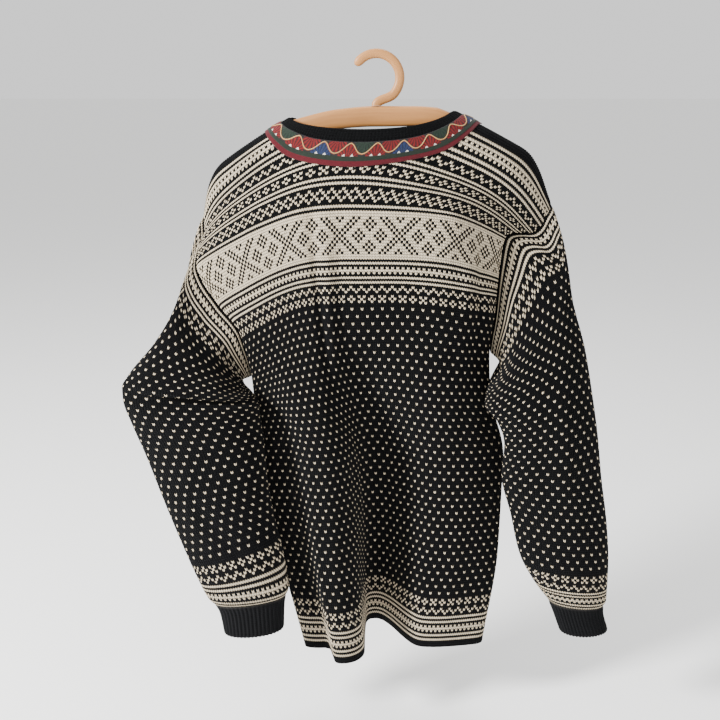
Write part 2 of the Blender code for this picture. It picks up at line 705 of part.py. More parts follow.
def sleeve_grid(side, table, leaves, rings):
    """Outer points of a sleeve: its columns start at the panels' corners round the armhole."""
    back_part = np.array(BACK_ROWS[::-1], float)
    front_part = np.array(FRONT_ROWS[1:-1], float)
    u = np.concatenate(
        [
            (1.0 - back_part / ARMHOLE_ROW) / 2.0,
            (1.0 + front_part / ARMHOLE_ROW) / 2.0,
        ]
    )
    along = np.array(rings + [table[-1][0] - SEAM * 100.0])
    around, down = np.meshgrid(u, along)
    return sleeve(side, table, leaves, around, down)


def ring_normals(points):
    """Unit outward normals of a closed grid, rows along and columns round."""
    round_it = np.roll(points, -1, axis=1) - np.roll(points, 1, axis=1)
    along = np.gradient(points, axis=0)
    normal = unit(np.cross(round_it, along))
    away = points - points.mean(axis=1, keepdims=True)
    flip = np.sign(np.sum(normal * away, axis=(1, 2)))
    return normal * flip[:, None, None]


def flatten_ends(points, inward, ends):
    """Keep the inward steps of an end ring inside that ring's own plane."""
    for k in ends:
        middle = points[k].mean(axis=0)
        away = points[k] - middle
        plane = np.linalg.svd(away)[2][2]
        inward[k] = unit(inward[k] - (inward[k] @ plane)[:, None] * plane)
    return inward


walls = []
depths = {}
seams = {}
armhole_shift = {}
for side, table, leaves, rings, name in (
    (-1, LEFT_SLEEVE, LEFT_LEAVES, LEFT_RINGS, "sleeve_left"),
    (1, RIGHT_SLEEVE, RIGHT_LEAVES, RIGHT_RINGS, "sleeve_right"),
):
    outer = sleeve_grid(side, table, leaves, rings)
    normal = ring_normals(outer)
    inward = flatten_ends(outer, -normal, [len(outer) - 1])
    edge = 0 if side < 0 else -1
    loop = outer[0].copy()
    # Panel corners met by this loop, in order round the armhole.
    met = [("back", k) for k in range(len(BACK_ROWS) - 1, -1, -1)]
    met += [("front", k) for k in range(1, len(FRONT_ROWS) - 1)]
    for n, (sheet, k) in enumerate(met):
        own = back_normal if sheet == "back" else front_normal
        shared = own[k, edge] + normal[0, n]
        if k == 0:
            shared = back_normal[0, edge] + front_normal[0, edge] + normal[0, n]
        # Towards the underarm, where three walls meet, the seam's inside turns up the
        # middle of the armhole's point.
        below = unit(back_normal[under_back + 1, edge] + front_normal[under_front + 1, edge])
        point = unit(unit(loop[1] - loop[0]) + unit(loop[-1] - loop[0]))
        point = unit(point - 0.5 * below - 0.5 * normal[1, 0])
        rise = UNDERARM_TURN[min(n, len(met) - n, len(UNDERARM_TURN) - 1)]
        shared = unit(unit(shared) * (1.0 - rise) - point * rise)
        inward[0, n] = -shared
        if sheet == "back":
            back_inward[k, edge] = -shared
        if sheet == "front" or n == 0 or k == 0:
            front_inward[under_front if n == 0 else k, edge] = -shared
        before = loop[n - 1]
        after = loop[(n + 1) % len(loop)]
        outwards = unit(np.cross(after - before, shared))
        if np.dot(outwards, outer[2, n] - loop[n]) < 0.0:
            outwards = -outwards
        outer[0, n] = loop[n] + outwards * SEAM * 0.5
        armhole_shift[(sheet, k, side)] = -outwards * SEAM * 0.5
        if k == 0 or n == 0:
            other = under_front if n == 0 else 0
            armhole_shift[("front", other, side)] = -outwards * SEAM * 0.5
    walls.append((name, outer, inward))

    depths[name] = depth_of(outer, inward, True)
    seams[name] = met

for (sheet, k, side), shift in armhole_shift.items():
    edge = 0 if side < 0 else -1
    grid = back_outer if sheet == "back" else front_outer
    at = back_at if sheet == "back" else front_at
    row = (BACK_ROWS if sheet == "back" else FRONT_ROWS)[k]
    nudge = HALF_GAP if k == 0 else 0.0
    inset = HALF_GAP if row == ARMHOLE_ROW else 0.0
    grid[k, edge] = at(side * (HALF_PANEL - inset), row + nudge) + shift

KNIT = (0.021, 0.021, 0.024)
depths["back"] = depth_of(back_outer, back_inward, False)
depths["front"] = depth_of(front_outer, front_inward, False)


def share_depth(one, other, held=None):
    """Give two walls' corners at a seam the same depth: the larger of theirs, or held."""
    depth = held or max(depths[one[0]][one[1:]], depths[other[0]][other[1:]])
    depths[one[0]][one[1:]] = depth
    depths[other[0]][other[1:]] = depth


for j in list(range(neck_start + 1)) + list(range(neck_end, back_outer.shape[1])):
    share_depth(("back", 0, j), ("front", 0, j))
for side, name in ((0, "sleeve_left"), (-1, "sleeve_right")):
    for n, (sheet, k) in enumerate(seams[name]):
        from_underarm = min(n, len(seams[name]) - n)
        held = None
        if from_underarm < len(UNDERARM_DEPTH):
            held = UNDERARM_DEPTH[from_underarm]
        share_depth((name, 0, n), (sheet, k, side), held)
    share_depth((name, 0, 0), ("front", under_front, side), UNDERARM_DEPTH[0])
    share_depth((name, 0, under_back), ("front", 0, side))
    for k in range(1, len(LOWER_ROWS) + 1):
        share_depth(("back", under_back + k, side), ("front", under_front + k, side))
wall_object("back", back_outer, back_outer + back_inward * depths["back"][..., None], False, KNIT)
wall_object("front", front_outer, front_outer + front_inward * depths["front"][..., None], False, KNIT)
for name, outer, inward in walls:
    inner = outer + inward * depths[name][..., None]
    wall_object(name, outer, inner, True, KNIT, turns_at=under_back)

# ---------------------------------------------------------------- cuffs
# Forty ribs stand out from each cuff over a plain inside.
for table, name in ((LEFT_CUFF, "cuff_left"), (RIGHT_CUFF, "cuff_right")):
    sides = CUFF_RIBS * 2
    around, down = np.meshgrid(np.arange(sides) / sides, np.array([0.0, 1.6, 5.4]))
    outer = tube(table, around, down)
    normal = ring_normals(outer)
    inward = flatten_ends(outer, -normal, [0, 2])
    inner = outer + inward * CLOTH
    raised = (np.arange(sides) % 2 == 0) * RIB_HEIGHT
    outer = outer - inward * raised[None, :, None]
    wall_object(name, outer, inner, True, (0.016, 0.016, 0.018))

# ---------------------------------------------------------------- neck
# The ribbed edge goes on where the panels are cut: each of their corners is one of its own.
corner_angle = np.concatenate([neck_angle, math.pi + neck_angle[1:]])
corner = neck_ring(corner_angle, cut_share)
corner_normal = neck_normal(corner_angle, cut_share)
span = np.linalg.norm(np.diff(corner, axis=0), axis=1)
share_of = np.maximum(1, np.round(span / span.sum() * NECK_RIBS * 2.0)).astype(int)
share_of[np.argmax(span)] += share_of.sum() % 2
turn_round = []
for k, count in enumerate(share_of):
    step = (corner_angle[k + 1] - corner_angle[k]) / count
    turn_round += [corner_angle[k] + step * m for m in range(count)]
turn_round = np.array(turn_round)
foot = np.stack([np.interp(turn_round, corner_angle, corner[:, k]) for k in range(3)], -1)
foot_normal = np.stack(
    [np.interp(turn_round, corner_angle, corner_normal[:, k]) for k in range(3)], -1
)
top = neck_ring(turn_round, 1.0)
middle = neck_ring(turn_round, (1.0 + cut_share) / 2.0)
outer = np.stack([foot + unit(middle - foot) * SEAM * 1.5, middle, top])
outwards = np.stack(
    [unit(foot_normal), neck_normal(turn_round, 0.85), neck_normal(turn_round, 0.97)]
)
inner = outer - outwards * CLOTH
raised = (np.arange(len(turn_round)) % 2 == 0) * NECK_RIB_HEIGHT
outer[1:] = outer[1:] + outwards[1:] * raised[None, :, None]
wall_object("neck_rib", outer, inner, True, (0.009, 0.010, 0.012))


def facets(*grids):
    """The panels' outer faces, to set trims on."""
    points = []
    faces = []
    for grid in grids:
        rows, columns = grid.shape[:2]
        start = len(points)
        points += [tuple(p) for p in grid.reshape(-1, 3)]
        for i in range(rows - 1):
            for j in range(columns - 1):
                a = start + i * columns + j
                faces += [(a, a + 1, a + 1 + columns), (a, a + 1 + columns, a + columns)]
    return BVHTree.FromPolygons(points, faces)


panels = facets(back_outer, front_outer)


def height_over(point, outward):
    """How far the panels' faces stand above a point, along its outward direction."""
    reach = 0.008
    start = Vector(point + outward * reach)
    distance = panels.ray_cast(start, Vector(-outward), 2.0 * reach)[3]
    return 0.0 if distance is None else reach - distance


def set_on_panels(rings, outwards):
    """Bring rings of points to the panels' faces, with the faces between them clear too."""
    rows, sides = rings.shape[:2]
    rise = np.array(
        [[height_over(rings[i, k], outwards[i, k]) for k in range(sides)] for i in range(rows)]
    )
    placed = rings + outwards * rise[..., None]
    lift = np.zeros((rows, sides))
    for i in range(rows):
        for k in range(sides):
            beside = (k + 1) % sides
            below = min(i + 1, rows - 1)
            for p, q in ((i, beside), (below, k), (below, beside)):
                for share in (0.25, 0.5, 0.75):
                    between = placed[i, k] * (1.0 - share) + placed[p, q] * share
                    outward = unit(outwards[i, k] * (1.0 - share) + outwards[p, q] * share)
                    over = height_over(between, outward)
                    lift[i, k] = max(lift[i, k], over)
                    lift[p, q] = max(lift[p, q], over)
    return placed + outwards * lift[..., None]


# Ribbon and felt lie on the panels, a little clear of the knitting.
TRIM_CLEAR = 0.0007
# columns: name, lines from the upper edge down as shares of the trim's width, thickness,
#          colour
TRIMS = [
    ("neck_ribbon", (0.692, 0.49, 0.284), 0.0011, (0.42, 0.02, 0.02)),
    ("felt_green", (0.272, 0.164), 0.0014, (0.045, 0.062, 0.05)),
    ("felt_red", (0.152, 0.004), 0.0014, (0.28, 0.025, 0.045)),
]
even = np.arange(72) / 72.0 * 2.0 * math.pi - math.pi / 2.0
# Corners crowd where the trims bend over the shoulders.
bent = even - 0.36 * np.sin(2.0 * (even + math.pi / 2.0))
for name, shares, deep, colour in TRIMS:
    up = np.array([neck_normal(bent, share) for share in shares])
    ring = set_on_panels(np.array([neck_ring(bent, share) for share in shares]), up)
    bottom = ring + up * TRIM_CLEAR
    wall_object(name, bottom + up * deep, bottom, True, colour)

# ---------------------------------------------------------------- hanger
# The bar's arms follow the shoulder seams from inside; the middle stands in the neck.
# columns: x, highest top, height, half thickness; centimetres
HANGER_BAR = [
    (-19.6, -9.0, 0.8, 0.28),
    (-19.2, -9.0, 1.7, 0.42),
    (-17.5, -9.0, 2.1, 0.50),
    (-13.0, -8.3, 2.3, 0.56),
    (-9.9, -7.4, 2.4, 0.58),
    (-5.0, -6.3, 2.5, 0.60),
    (0.0, -5.9, 2.6, 0.62),
    (5.0, -5.9, 2.5, 0.60),
    (8.1, -6.1, 2.4, 0.58),
    (13.0, -7.6, 2.3, 0.56),
    (17.5, -9.0, 2.1, 0.50),
    (19.2, -9.0, 1.7, 0.42),
    (19.6, -9.0, 0.8, 0.28),
]
wood = (0.62, 0.34, 0.13)
shoulder = back_at(GRID_STITCH, 0.0)
half_stations = [HANGER_HALF, HANGER_HALF - 0.005, 0.176, 0.156, 0.132, 0.108, 0.082, 0.05]
stations = [-x for x in half_stations] + [0.0] + half_stations[::-1]
rings = []
for x in stations:
    top_z, tall, half = [curve(HANGER_BAR, column, x * 100.0) / 100.0 for column in (1, 2, 3)]
    middle_y = np.interp(x, shoulder[:, 0], shoulder[:, 1]) * smooth(abs(x) / 0.10)
    under = np.interp(x, shoulder[:, 0], shoulder[:, 2]) - CLOTH - HANGER_CLEAR
    top_z = min(top_z, under)
    ring = []
    for k in range(12):
        angle = 2.0 * math.pi * k / 12
        y = half * math.copysign(abs(math.cos(angle)) ** 0.7, math.cos(angle))
        z = tall / 2.0 * math.copysign(abs(math.sin(angle)) ** 0.7, math.sin(angle))
        ring.append((x, middle_y + y, top_z - tall / 2.0 + z))
    rings.append(ring)


def bar_object(name, rings, colour):
    """A solid bar through rings of points, closed at both ends."""
    size = len(rings[0])
    points = [p for ring in rings for p in ring]
    faces = []
    for i in range(len(rings) - 1):
        for j in range(size):
            a = i * size + j
            b = i * size + (j + 1) % size
            faces.append((a, b, b + size, a + size))
    faces.append(tuple(range(size))[::-1])
    last = (len(rings) - 1) * size
    faces.append(tuple(range(last, last + size)))
    mesh = bpy.data.meshes.new(name)
    mesh.from_pydata(points, [], faces)
    mesh.update()
    return finish(name, mesh, colour, 0.45)


bar_object("hanger_bar", rings, wood)

# The hook bends over from -X, comes down on +X and turns back to stand on the bar.
HOOK_STARTS = 150.0             # degrees round from +X at its free end
HOOK_LEAVES = -42.0             # where the round stretch ends
centre_z = -(HOOK_RADIUS - HOOK_WIDE / 2.0)
foot_z = -0.0590 + SEAM
path = []
for degrees in np.linspace(HOOK_STARTS, HOOK_LEAVES, 19):
    a = math.radians(degrees)
    path.append((HOOK_RADIUS * math.cos(a), centre_z + HOOK_RADIUS * math.sin(a)))
start = np.array(path[-1])
leaving = np.array((math.sin(math.radians(HOOK_LEAVES)), -math.cos(math.radians(HOOK_LEAVES))))
end = np.array((0.0, foot_z))
pull_out = start + leaving * 0.009
pull_in = end + (0.0, 0.0085)
for share in np.linspace(0.0, 1.0, 8)[1:]:
    rest = 1.0 - share
    point = rest**3 * start + 3.0 * rest**2 * share * pull_out
    point = point + 3.0 * rest * share**2 * pull_in + share**3 * end
    path.append(tuple(point))
path = np.array(path)
way = np.gradient(path, axis=0)
way = way / np.linalg.norm(way, axis=1, keepdims=True)
way[-1] = (0.0, -1.0)
rings = []
for k, (x, z) in enumerate(path):
    across = (-way[k][1], way[k][0])
    slim = min(1.0, 0.62 + 0.2 * k)
    ring = []
    for m in range(8):
        angle = 2.0 * math.pi * (m + 0.5) / 8
        s = HOOK_WIDE / 2.0 * slim * math.cos(angle) / math.cos(math.pi / 8)
        d = HOOK_DEEP / 2.0 * slim * math.sin(angle) / math.cos(math.pi / 8)
        ring.append((x + across[0] * s, d, z + across[1] * s))
    rings.append(ring)
bar_object("hanger_hook", rings, wood)
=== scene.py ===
"""Nordic yoke sweater hanging back to front on a wooden hanger.

The garment is knitted wool in two colours, so its cloth is made stitch by stitch on the
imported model's own shape.  Metres, +Z up; the garment's back faces -Y.
"""

import math
from functools import partial

import bpy
import numpy as np
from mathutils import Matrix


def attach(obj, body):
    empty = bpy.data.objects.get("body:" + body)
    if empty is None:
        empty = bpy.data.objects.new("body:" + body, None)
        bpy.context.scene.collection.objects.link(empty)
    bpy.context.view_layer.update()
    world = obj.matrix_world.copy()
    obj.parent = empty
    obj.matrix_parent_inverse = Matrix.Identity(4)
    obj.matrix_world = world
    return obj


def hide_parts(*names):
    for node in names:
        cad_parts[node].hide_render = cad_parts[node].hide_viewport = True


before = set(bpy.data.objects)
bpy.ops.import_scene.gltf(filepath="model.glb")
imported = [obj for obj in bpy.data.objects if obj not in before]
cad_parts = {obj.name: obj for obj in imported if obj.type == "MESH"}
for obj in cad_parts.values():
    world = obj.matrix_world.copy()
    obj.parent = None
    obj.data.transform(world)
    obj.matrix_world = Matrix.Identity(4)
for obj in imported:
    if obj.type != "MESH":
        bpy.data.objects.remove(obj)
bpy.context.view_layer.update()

# ================================================================ camera, floor and light
# A chest-high camera looks a little down on the garment's back.  A pale floor lies
# under it, and broad soft lamps stand round it.
CAMERA_DOWN = 15.5          # degrees by which the camera looks below level
FLOOR_UNDER_HOOK = 0.95
FLOOR_HALF = 60.0
LAMPS_AIM = (0.0, 0.0, -0.4)
# columns: name, place, width, power
LAMPS = [
    ("key", (-2.1, -1.2, 0.8), 0.6, 225.0),
    ("fill", (1.7, -1.6, 0.3), 1.2, 16.0),
    ("top", (0.3, 0.8, 1.7), 1.2, 30.0),
]


def put_in_scene(name, data):
    """Put data into the scene as an object of the given name."""
    item = bpy.data.objects.new(name, data)
    bpy.context.scene.collection.objects.link(item)
    return item


def new_material(name, **settings):
    """A material whose shader has the given settings; gives it and its node tree."""
    material = bpy.data.materials.new(name)
    material.use_nodes = True
    for socket, value in settings.items():
        shader = material.node_tree.nodes["Principled BSDF"]
        shader.inputs[socket.replace("_", " ")].default_value = value
    return material, material.node_tree


camera = put_in_scene("camera", bpy.data.cameras.new("camera"))
camera.data.lens = 50.0
camera.data.sensor_width = 36.0
camera.location = (-0.021, -1.33, -0.03)
camera.rotation_euler = (math.radians(90.0 - CAMERA_DOWN), 0.0, 0.0)
bpy.context.scene.camera = camera

corners = [(-1.0, -1.0), (1.0, -1.0), (1.0, 1.0), (-1.0, 1.0)]
corners = [(x * FLOOR_HALF, y * FLOOR_HALF, -FLOOR_UNDER_HOOK) for x, y in corners]
floor = put_in_scene("floor", bpy.data.meshes.new("floor"))
floor.data.from_pydata(corners, [], [(0, 1, 2, 3)])
floor_paint, _ = new_material("floor_paint", Base_Color=(0.93, 0.93, 0.92, 1.0), Roughness=0.9)
floor.data.materials.append(floor_paint)

world = bpy.data.worlds.new("studio")
bpy.context.scene.world = world
world.use_nodes = True
world.node_tree.nodes["Background"].inputs["Color"].default_value = (1.0, 1.0, 1.0, 1.0)
world.node_tree.nodes["Background"].inputs["Strength"].default_value = 1.1

for name, place, wide, power in LAMPS:
    lamp = bpy.data.lights.new(name, "AREA")
    lamp.shape = "DISK"
    lamp.size = wide
    lamp.energy = power
    holder = put_in_scene(name, lamp)
    holder.location = place
    x, y, z = np.array(LAMPS_AIM) - np.array(place)
    holder.rotation_euler = (math.atan2(np.hypot(x, y), -z), 0.0, math.atan2(-x, y))

# ================================================================ back of the body
# One straight panel of stranded knitting, 140 stitches wide and 226 rows long, with a round
# neck cut out.  It hangs over the hanger's bar from the shoulder seam and falls in deep
# upright folds.
STITCH = 0.00345            # width of one stitch
HALF_PANEL = 70             # stitches from the middle of a panel to its side edge
LAST_ROW = 226              # rows from the shoulder seam to the hem
ARMHOLE_ROW = 94            # row of the underarm
CHEST_ROW = 76              # row from which the deep folds grow towards the hem
CLOTH = 0.0026              # thickness of the knitting

# Directions of the cloth along six rows, read from -X to +X, in degrees.
# turn: 0 runs along X, positive goes away to +Y, negative comes towards -Y.
# fall: positive drops, negative climbs.
# columns: stitch, turn, fall
BACK_SHOULDER = [
    (-70, -62, -62), (-60, -55, -64), (-50, -32, -50), (-42, -8, -32), (-22, 0, -28),
    (-11, 0, -23), (0, 0, 0), (11, 0, 16), (22, 0, 25), (42, 4, 27), (50, 10, 52),
    (62, 12, 66), (70, 12, 62),
]
BACK_NECK = [
    (-70, -62, -48), (-58, -46, -44), (-46, -26, -38), (-32, -12, -33), (-18, -14, -24),
    (0, 0, 0), (18, 10, 20), (34, 8, 27), (48, 22, 38), (60, 34, 46), (70, 40, 46),
]
BACK_BAND = [
    (-70, -60, -30), (-62, -36, -27), (-44, -25, -25), (-22, -20, -18), (-8, -6, -5),
    (6, 0, 0), (24, 4, 2), (38, 12, 9), (48, 28, 20), (60, 42, 22), (70, 52, 20),
]
BACK_CHEST = [
    (-70, -72, -20), (-62, -38, -21), (-46, -22, -21), (-30, -24, -16), (-14, -12, -5),
    (0, 2, 0), (14, 8, 0), (30, 2, 4), (44, 18, 10), (58, 38, 12), (70, 70, 12),
]
BACK_WAIST = [
    (-70, -78, -6), (-64, -25, -7), (-56, -8, -7), (-48, -40, -6), (-42, -34, -5),
    (-34, 2, -3), (-24, 34, -1), (-14, 66, 0), (-4, 62, 0), (6, 8, 0), (14, -34, 0),
    (28, -34, 1), (40, -4, 2), (52, 12, 3), (64, 24, 4), (70, 78, 4),
]
BACK_HEM = [
    (-70, -80, 0), (-66, -20, 0), (-58, -2, 0), (-54, -70, 0), (-45, -72, 0), (-41, -14, 0),
    (-35, 18, 0), (-29, 52, 0), (-23, 82, 0), (-4, 78, 0), (3, 10, 0), (9, -44, 0),
    (20, -56, 0), (31, -48, 0), (39, -4, 0), (52, 8, 0), (63, 12, 0), (70, 78, 0),
]
# columns: row, direction table
BACK_LEVELS = [
    (0, BACK_SHOULDER), (13, BACK_NECK), (46, BACK_BAND),
    (CHEST_ROW, BACK_CHEST), (142, BACK_WAIST), (LAST_ROW, BACK_HEM),
]
# Places of the panel's two edges and of its middle column, in centimetres.
# columns: row, left x, left y, middle x, middle y, middle z, right x, right y, spread
# spread opens the cloth beside the neck, which the sloping hanger pulls apart.
BACK_PLACES = [
    (0, -22.0, 4.6, -0.8, -0.6, -4.0, 23.4, 1.2, 1.95),
    (13, -23.0, 3.0, -1.8, -5.0, -8.8, 22.4, 0.8, 1.62),
    (26, -24.0, 1.6, -3.2, -5.6, -13.2, 20.2, 0.4, 1.26),
    (40, -24.2, 0.2, -4.6, -6.2, -18.2, 17.4, 0.0, 1.0),
    (57, -21.4, -1.0, -4.7, -6.6, -24.4, 16.6, -0.6, 1.0),
    (76, -18.0, -2.4, -4.5, -6.6, -30.4, 16.2, -1.4, 1.0),
    (94, -16.9, -1.5, -4.0, -5.6, -36.6, 15.8, -0.2, 1.0),
    (112, -16.6, -1.1, -3.2, -4.0, -42.8, 16.0, -0.8, 1.0),
    (142, -16.1, -0.8, -1.8, -0.6, -53.2, 18.3, 0.2, 1.0),
    (184, -13.8, -0.8, -1.0, 2.6, -67.8, 18.1, 0.2, 1.0),
    (LAST_ROW, -10.3, -1.6, -0.8, 5.4, -83.1, 16.2, -0.2, 1.0),
]
SPREAD_TO = (30.0, 14.0)    # stitch at which the spread ends, and stitches over which it fades
# The cloth's roll over the hanger's top, outwards and up: how far in metres, rows in which
# it rises, and rows in which it fades again.
ROLL_OUT = (0.0100, 5.0, 14.0)
ROLL_UP = (0.0085, 3.5, 20.0)

GRID_STITCH = np.arange(-HALF_PANEL, HALF_PANEL + 1.0)
GRID_ROW = np.arange(LAST_ROW + 1.0)
TO_LEFT = np.clip(-GRID_STITCH / HALF_PANEL, 0.0, 1.0)
TO_RIGHT = np.clip(GRID_STITCH / HALF_PANEL, 0.0, 1.0)


def smooth(x):
    """0 to 1 with flat ends."""
    x = np.clip(x, 0.0, 1.0)
    return x * x * (3.0 - 2.0 * x)


def curve(table, column, x):
    """Read a column of a table at x with a smooth curve that never overshoots."""
    xs = np.array([line[0] for line in table], float)
    ys = np.array([line[column] for line in table], float)
    step = np.diff(xs)
    rise = np.diff(ys) / step
    same = rise[:-1] * rise[1:] > 0
    part_a = (2.0 * step[1:] + step[:-1]) / np.where(same, rise[:-1], 1.0)
    part_b = (step[1:] + 2.0 * step[:-1]) / np.where(same, rise[1:], 1.0)
    inner = np.where(same, (step[:-1] + step[1:]) * 3.0 / (part_a + part_b), 0.0)
    slope = np.concatenate([rise[:1], inner, rise[-1:]])
    x = np.clip(np.asarray(x, float), xs[0], xs[-1])
    i = np.clip(np.searchsorted(xs, x, side="right") - 1, 0, len(xs) - 2)
    h = step[i]
    t = (x - xs[i]) / h
    a = (1.0 + 2.0 * t) * (1.0 - t) ** 2 * ys[i]
    b = t * (1.0 - t) ** 2 * h * slope[i]
    c = t * t * (3.0 - 2.0 * t) * ys[i + 1]
    d = t * t * (t - 1.0) * h * slope[i + 1]
    return a + b + c + d


def unit(v):
    """Vectors of length 1."""
    return v / np.maximum(np.linalg.norm(v, axis=-1, keepdims=True), 1e-12)


def directions(row):
    """Turn and fall of the back, in radians, of every grid stitch along one row."""
    rows = [level[0] for level in BACK_LEVELS]
    k = int(np.clip(np.searchsorted(rows, row, side="right") - 1, 0, len(rows) - 2))
    share = smooth((row - rows[k]) / (rows[k + 1] - rows[k]))
    for column in (1, 2):
        above = curve(BACK_LEVELS[k][1], column, GRID_STITCH)
        below = curve(BACK_LEVELS[k + 1][1], column, GRID_STITCH)
        yield np.radians(above + (below - above) * share)


def run(step):
    """Add the steps up outwards from the middle stitch."""
    between = (step[1:] + step[:-1]) / 2.0
    total = np.concatenate([[0.0], np.cumsum(between)])
    return total - total[HALF_PANEL]


def pinned(line, left, right):
    """Shift a line so that its two ends lie at the given places."""
    return line + TO_LEFT * (left - line[0]) + TO_RIGHT * (right - line[-1])


def roll(row, far, rows, fades):
    """How far the cloth's roll over the hanger moves one row."""
    rise = far * np.sin(np.clip(row / rows, 0.0, 1.0) * math.pi / 2.0)
    return rise * (1.0 - smooth((row - rows) / fades))


def hang_back():
    """The back panel without its outward roll, on the grid of rows and stitches."""
    points = np.zeros((len(GRID_ROW), len(GRID_STITCH), 3))
    near_neck = smooth((SPREAD_TO[0] - np.abs(GRID_STITCH)) / SPREAD_TO[1])
    for i, row in enumerate(GRID_ROW):
        turn, fall = directions(row)
        place = [curve(BACK_PLACES, column, row) / 100.0 for column in range(1, 8)]
        left_x, left_y, mid_x, mid_y, mid_z, right_x, right_y = place
        length = STITCH * (1.0 + (curve(BACK_PLACES, 8, row) - 1.0) * near_neck)
        x = run(np.cos(turn) * np.cos(fall) * length)
        y = run(np.sin(turn) * np.cos(fall) * length)
        z = run(-np.sin(fall) * length)
        points[i, :, 0] = mid_x + pinned(x, left_x - mid_x, right_x - mid_x)
        points[i, :, 1] = mid_y + pinned(y, left_y - mid_y, right_y - mid_y)
        points[i, :, 2] = mid_z + z + roll(row, *ROLL_UP)
    return points


def roll_steps():
    """Steps square to the shoulder line by which the roll moves the back panel."""
    turn = np.radians(curve(BACK_SHOULDER, 1, GRID_STITCH))
    out = np.array([[roll(row, *ROLL_OUT)] for row in GRID_ROW])
    return np.stack([out * np.sin(turn), -out * np.cos(turn), out * 0.0 * turn], -1)


def reader(points):
    """Give a function that reads the sheet at any stitch and row."""

    def read(stitch, row):
        stitch, row = np.broadcast_arrays(np.asarray(stitch, float), np.asarray(row, float))
        u = np.clip(stitch + HALF_PANEL, 0.0, 2.0 * HALF_PANEL)
        v = np.clip(row, 0.0, LAST_ROW)
        i = np.clip(v.astype(int), 0, points.shape[0] - 2)
        j = np.clip(u.astype(int), 0, points.shape[1] - 2)
        s = (v - i)[..., None]
        t = (u - j)[..., None]
        top = points[i, j] * (1 - t) + points[i, j + 1] * t
        low = points[i + 1, j] * (1 - t) + points[i + 1, j + 1] * t
        return top * (1 - s) + low * s

    return read


plain_back = hang_back()
back_at = reader(plain_back + roll_steps())

# The chart of the knitting, read from the shoulder down: x is a cream stitch and . a dark
# one, and each line repeats across the panel from the middle stitch.
CHARTS = {
    "dark": ["."],
    "cream": ["x"],
    "seeds": ["x."],
    "seeds_between": [".x"],
    "zigzag": ["x...", ".x.x", "..x."],
    "crosses": [".x..x..x", "x..x.x..", ".x..x..x"],
    "lattice": ["x...", ".x.x", "..x.", ".x.x", "x..."],
}
# The wide cream band has its dark stitches at these distances from the middle of the
# nearest star, and the stars stand 22 stitches apart.
STAR_REPEAT = 22
STAR_ROWS = [
    (1, 5, 7, 11), (0, 4, 6, 10), (3, 5, 9, 11), (2, 4, 10), (1, 3, 7, 11), (0, 2, 6, 8),
    (1, 5, 7, 9),
]
STAR_ROWS += STAR_ROWS[-2::-1]
FINE_LINES = ["dark", "cream", "dark", "cream", "dark"]
SEED_LINES = ["seeds", "cream", "seeds_between"]
UNDER_STARS = (
    ["dark", "cream", "dark"] + SEED_LINES + FINE_LINES
    + ["zigzag", "dark", "crosses", "dark", "dark"]
)
YOKE = (
    ["dark"] * 6 + ["cream", "dark", "cream"] + SEED_LINES + FINE_LINES + ["zigzag"]
    + FINE_LINES + ["crosses"] + FINE_LINES + ["lattice"] + ["dark", "cream", "dark"]
    + ["star"] + UNDER_STARS
)
LOWER_EDGE = (
    ["crosses", "dark", "zigzag"] + FINE_LINES + SEED_LINES + ["dark", "cream", "dark", "cream"]
)
HEM = LOWER_EDGE + ["dark"] * 3
LICE_STITCHES = 4           # a single cream stitch every four stitches
LICE_ROWS = 3               # on every third row, half a step over each time


def spelled(blocks):
    """A list of named bands spelled out, one entry for each row of stitches."""
    rows = []
    for block in blocks:
        if block == "star":
            plain = [("cream", 0)] * 2
            rows += plain + [("star", k) for k in range(len(STAR_ROWS))] + plain
        else:
            rows += [(block, k) for k in range(len(CHARTS[block]))]
    return rows


def cream_stitches(first, last, count, across):
    """Which stitches are cream: rows down from the top, and the given stitches across."""
    grid = np.zeros((count, len(across)), bool)
    head = spelled(first)
    tail = spelled(last)
    lice_end = count - len(tail)
    for k in range(count):
        if len(head) <= k < lice_end:
            turn = k - len(head)
            if turn % LICE_ROWS == 0 and k < lice_end - 1:
                shift = (turn // LICE_ROWS % 2) * LICE_STITCHES // 2
                grid[k] = (across + shift) % LICE_STITCHES == 0
            continue
        block, line = head[k] if k < len(head) else tail[k - lice_end]
        if block == "star":
            away = across % STAR_REPEAT
            away = np.minimum(away, STAR_REPEAT - away)
            grid[k] = ~np.isin(away, STAR_ROWS[line])
        else:
            chart = CHARTS[block][line]
            grid[k] = np.array([letter == "x" for letter in chart])[across % len(chart)]
    return grid


def wool_twist(across, down):
    """A fixed tone from 0 to 1 for each stitch, as uneven as hand-dyed yarn."""
    return np.modf(np.abs(np.sin(across * 12.9898 + down * 78.233) * 43758.5453))[0]


POINT = 0.25                # rows by which a stitch's point reaches down
WALE_CREST = 0.2            # stitches from a stitch's middle to the crest of each leg
WALE_RELIEF = 0.00055       # height of a leg over the groove between two wales
SEAM_DIP = 0.0011           # how far a sewn edge is drawn in
INNER_STITCHES = 4.0        # the inside of the cloth is laid out in steps this wide
MAP_STITCHES = 256.0        # stitches across the whole of the knitting's own map


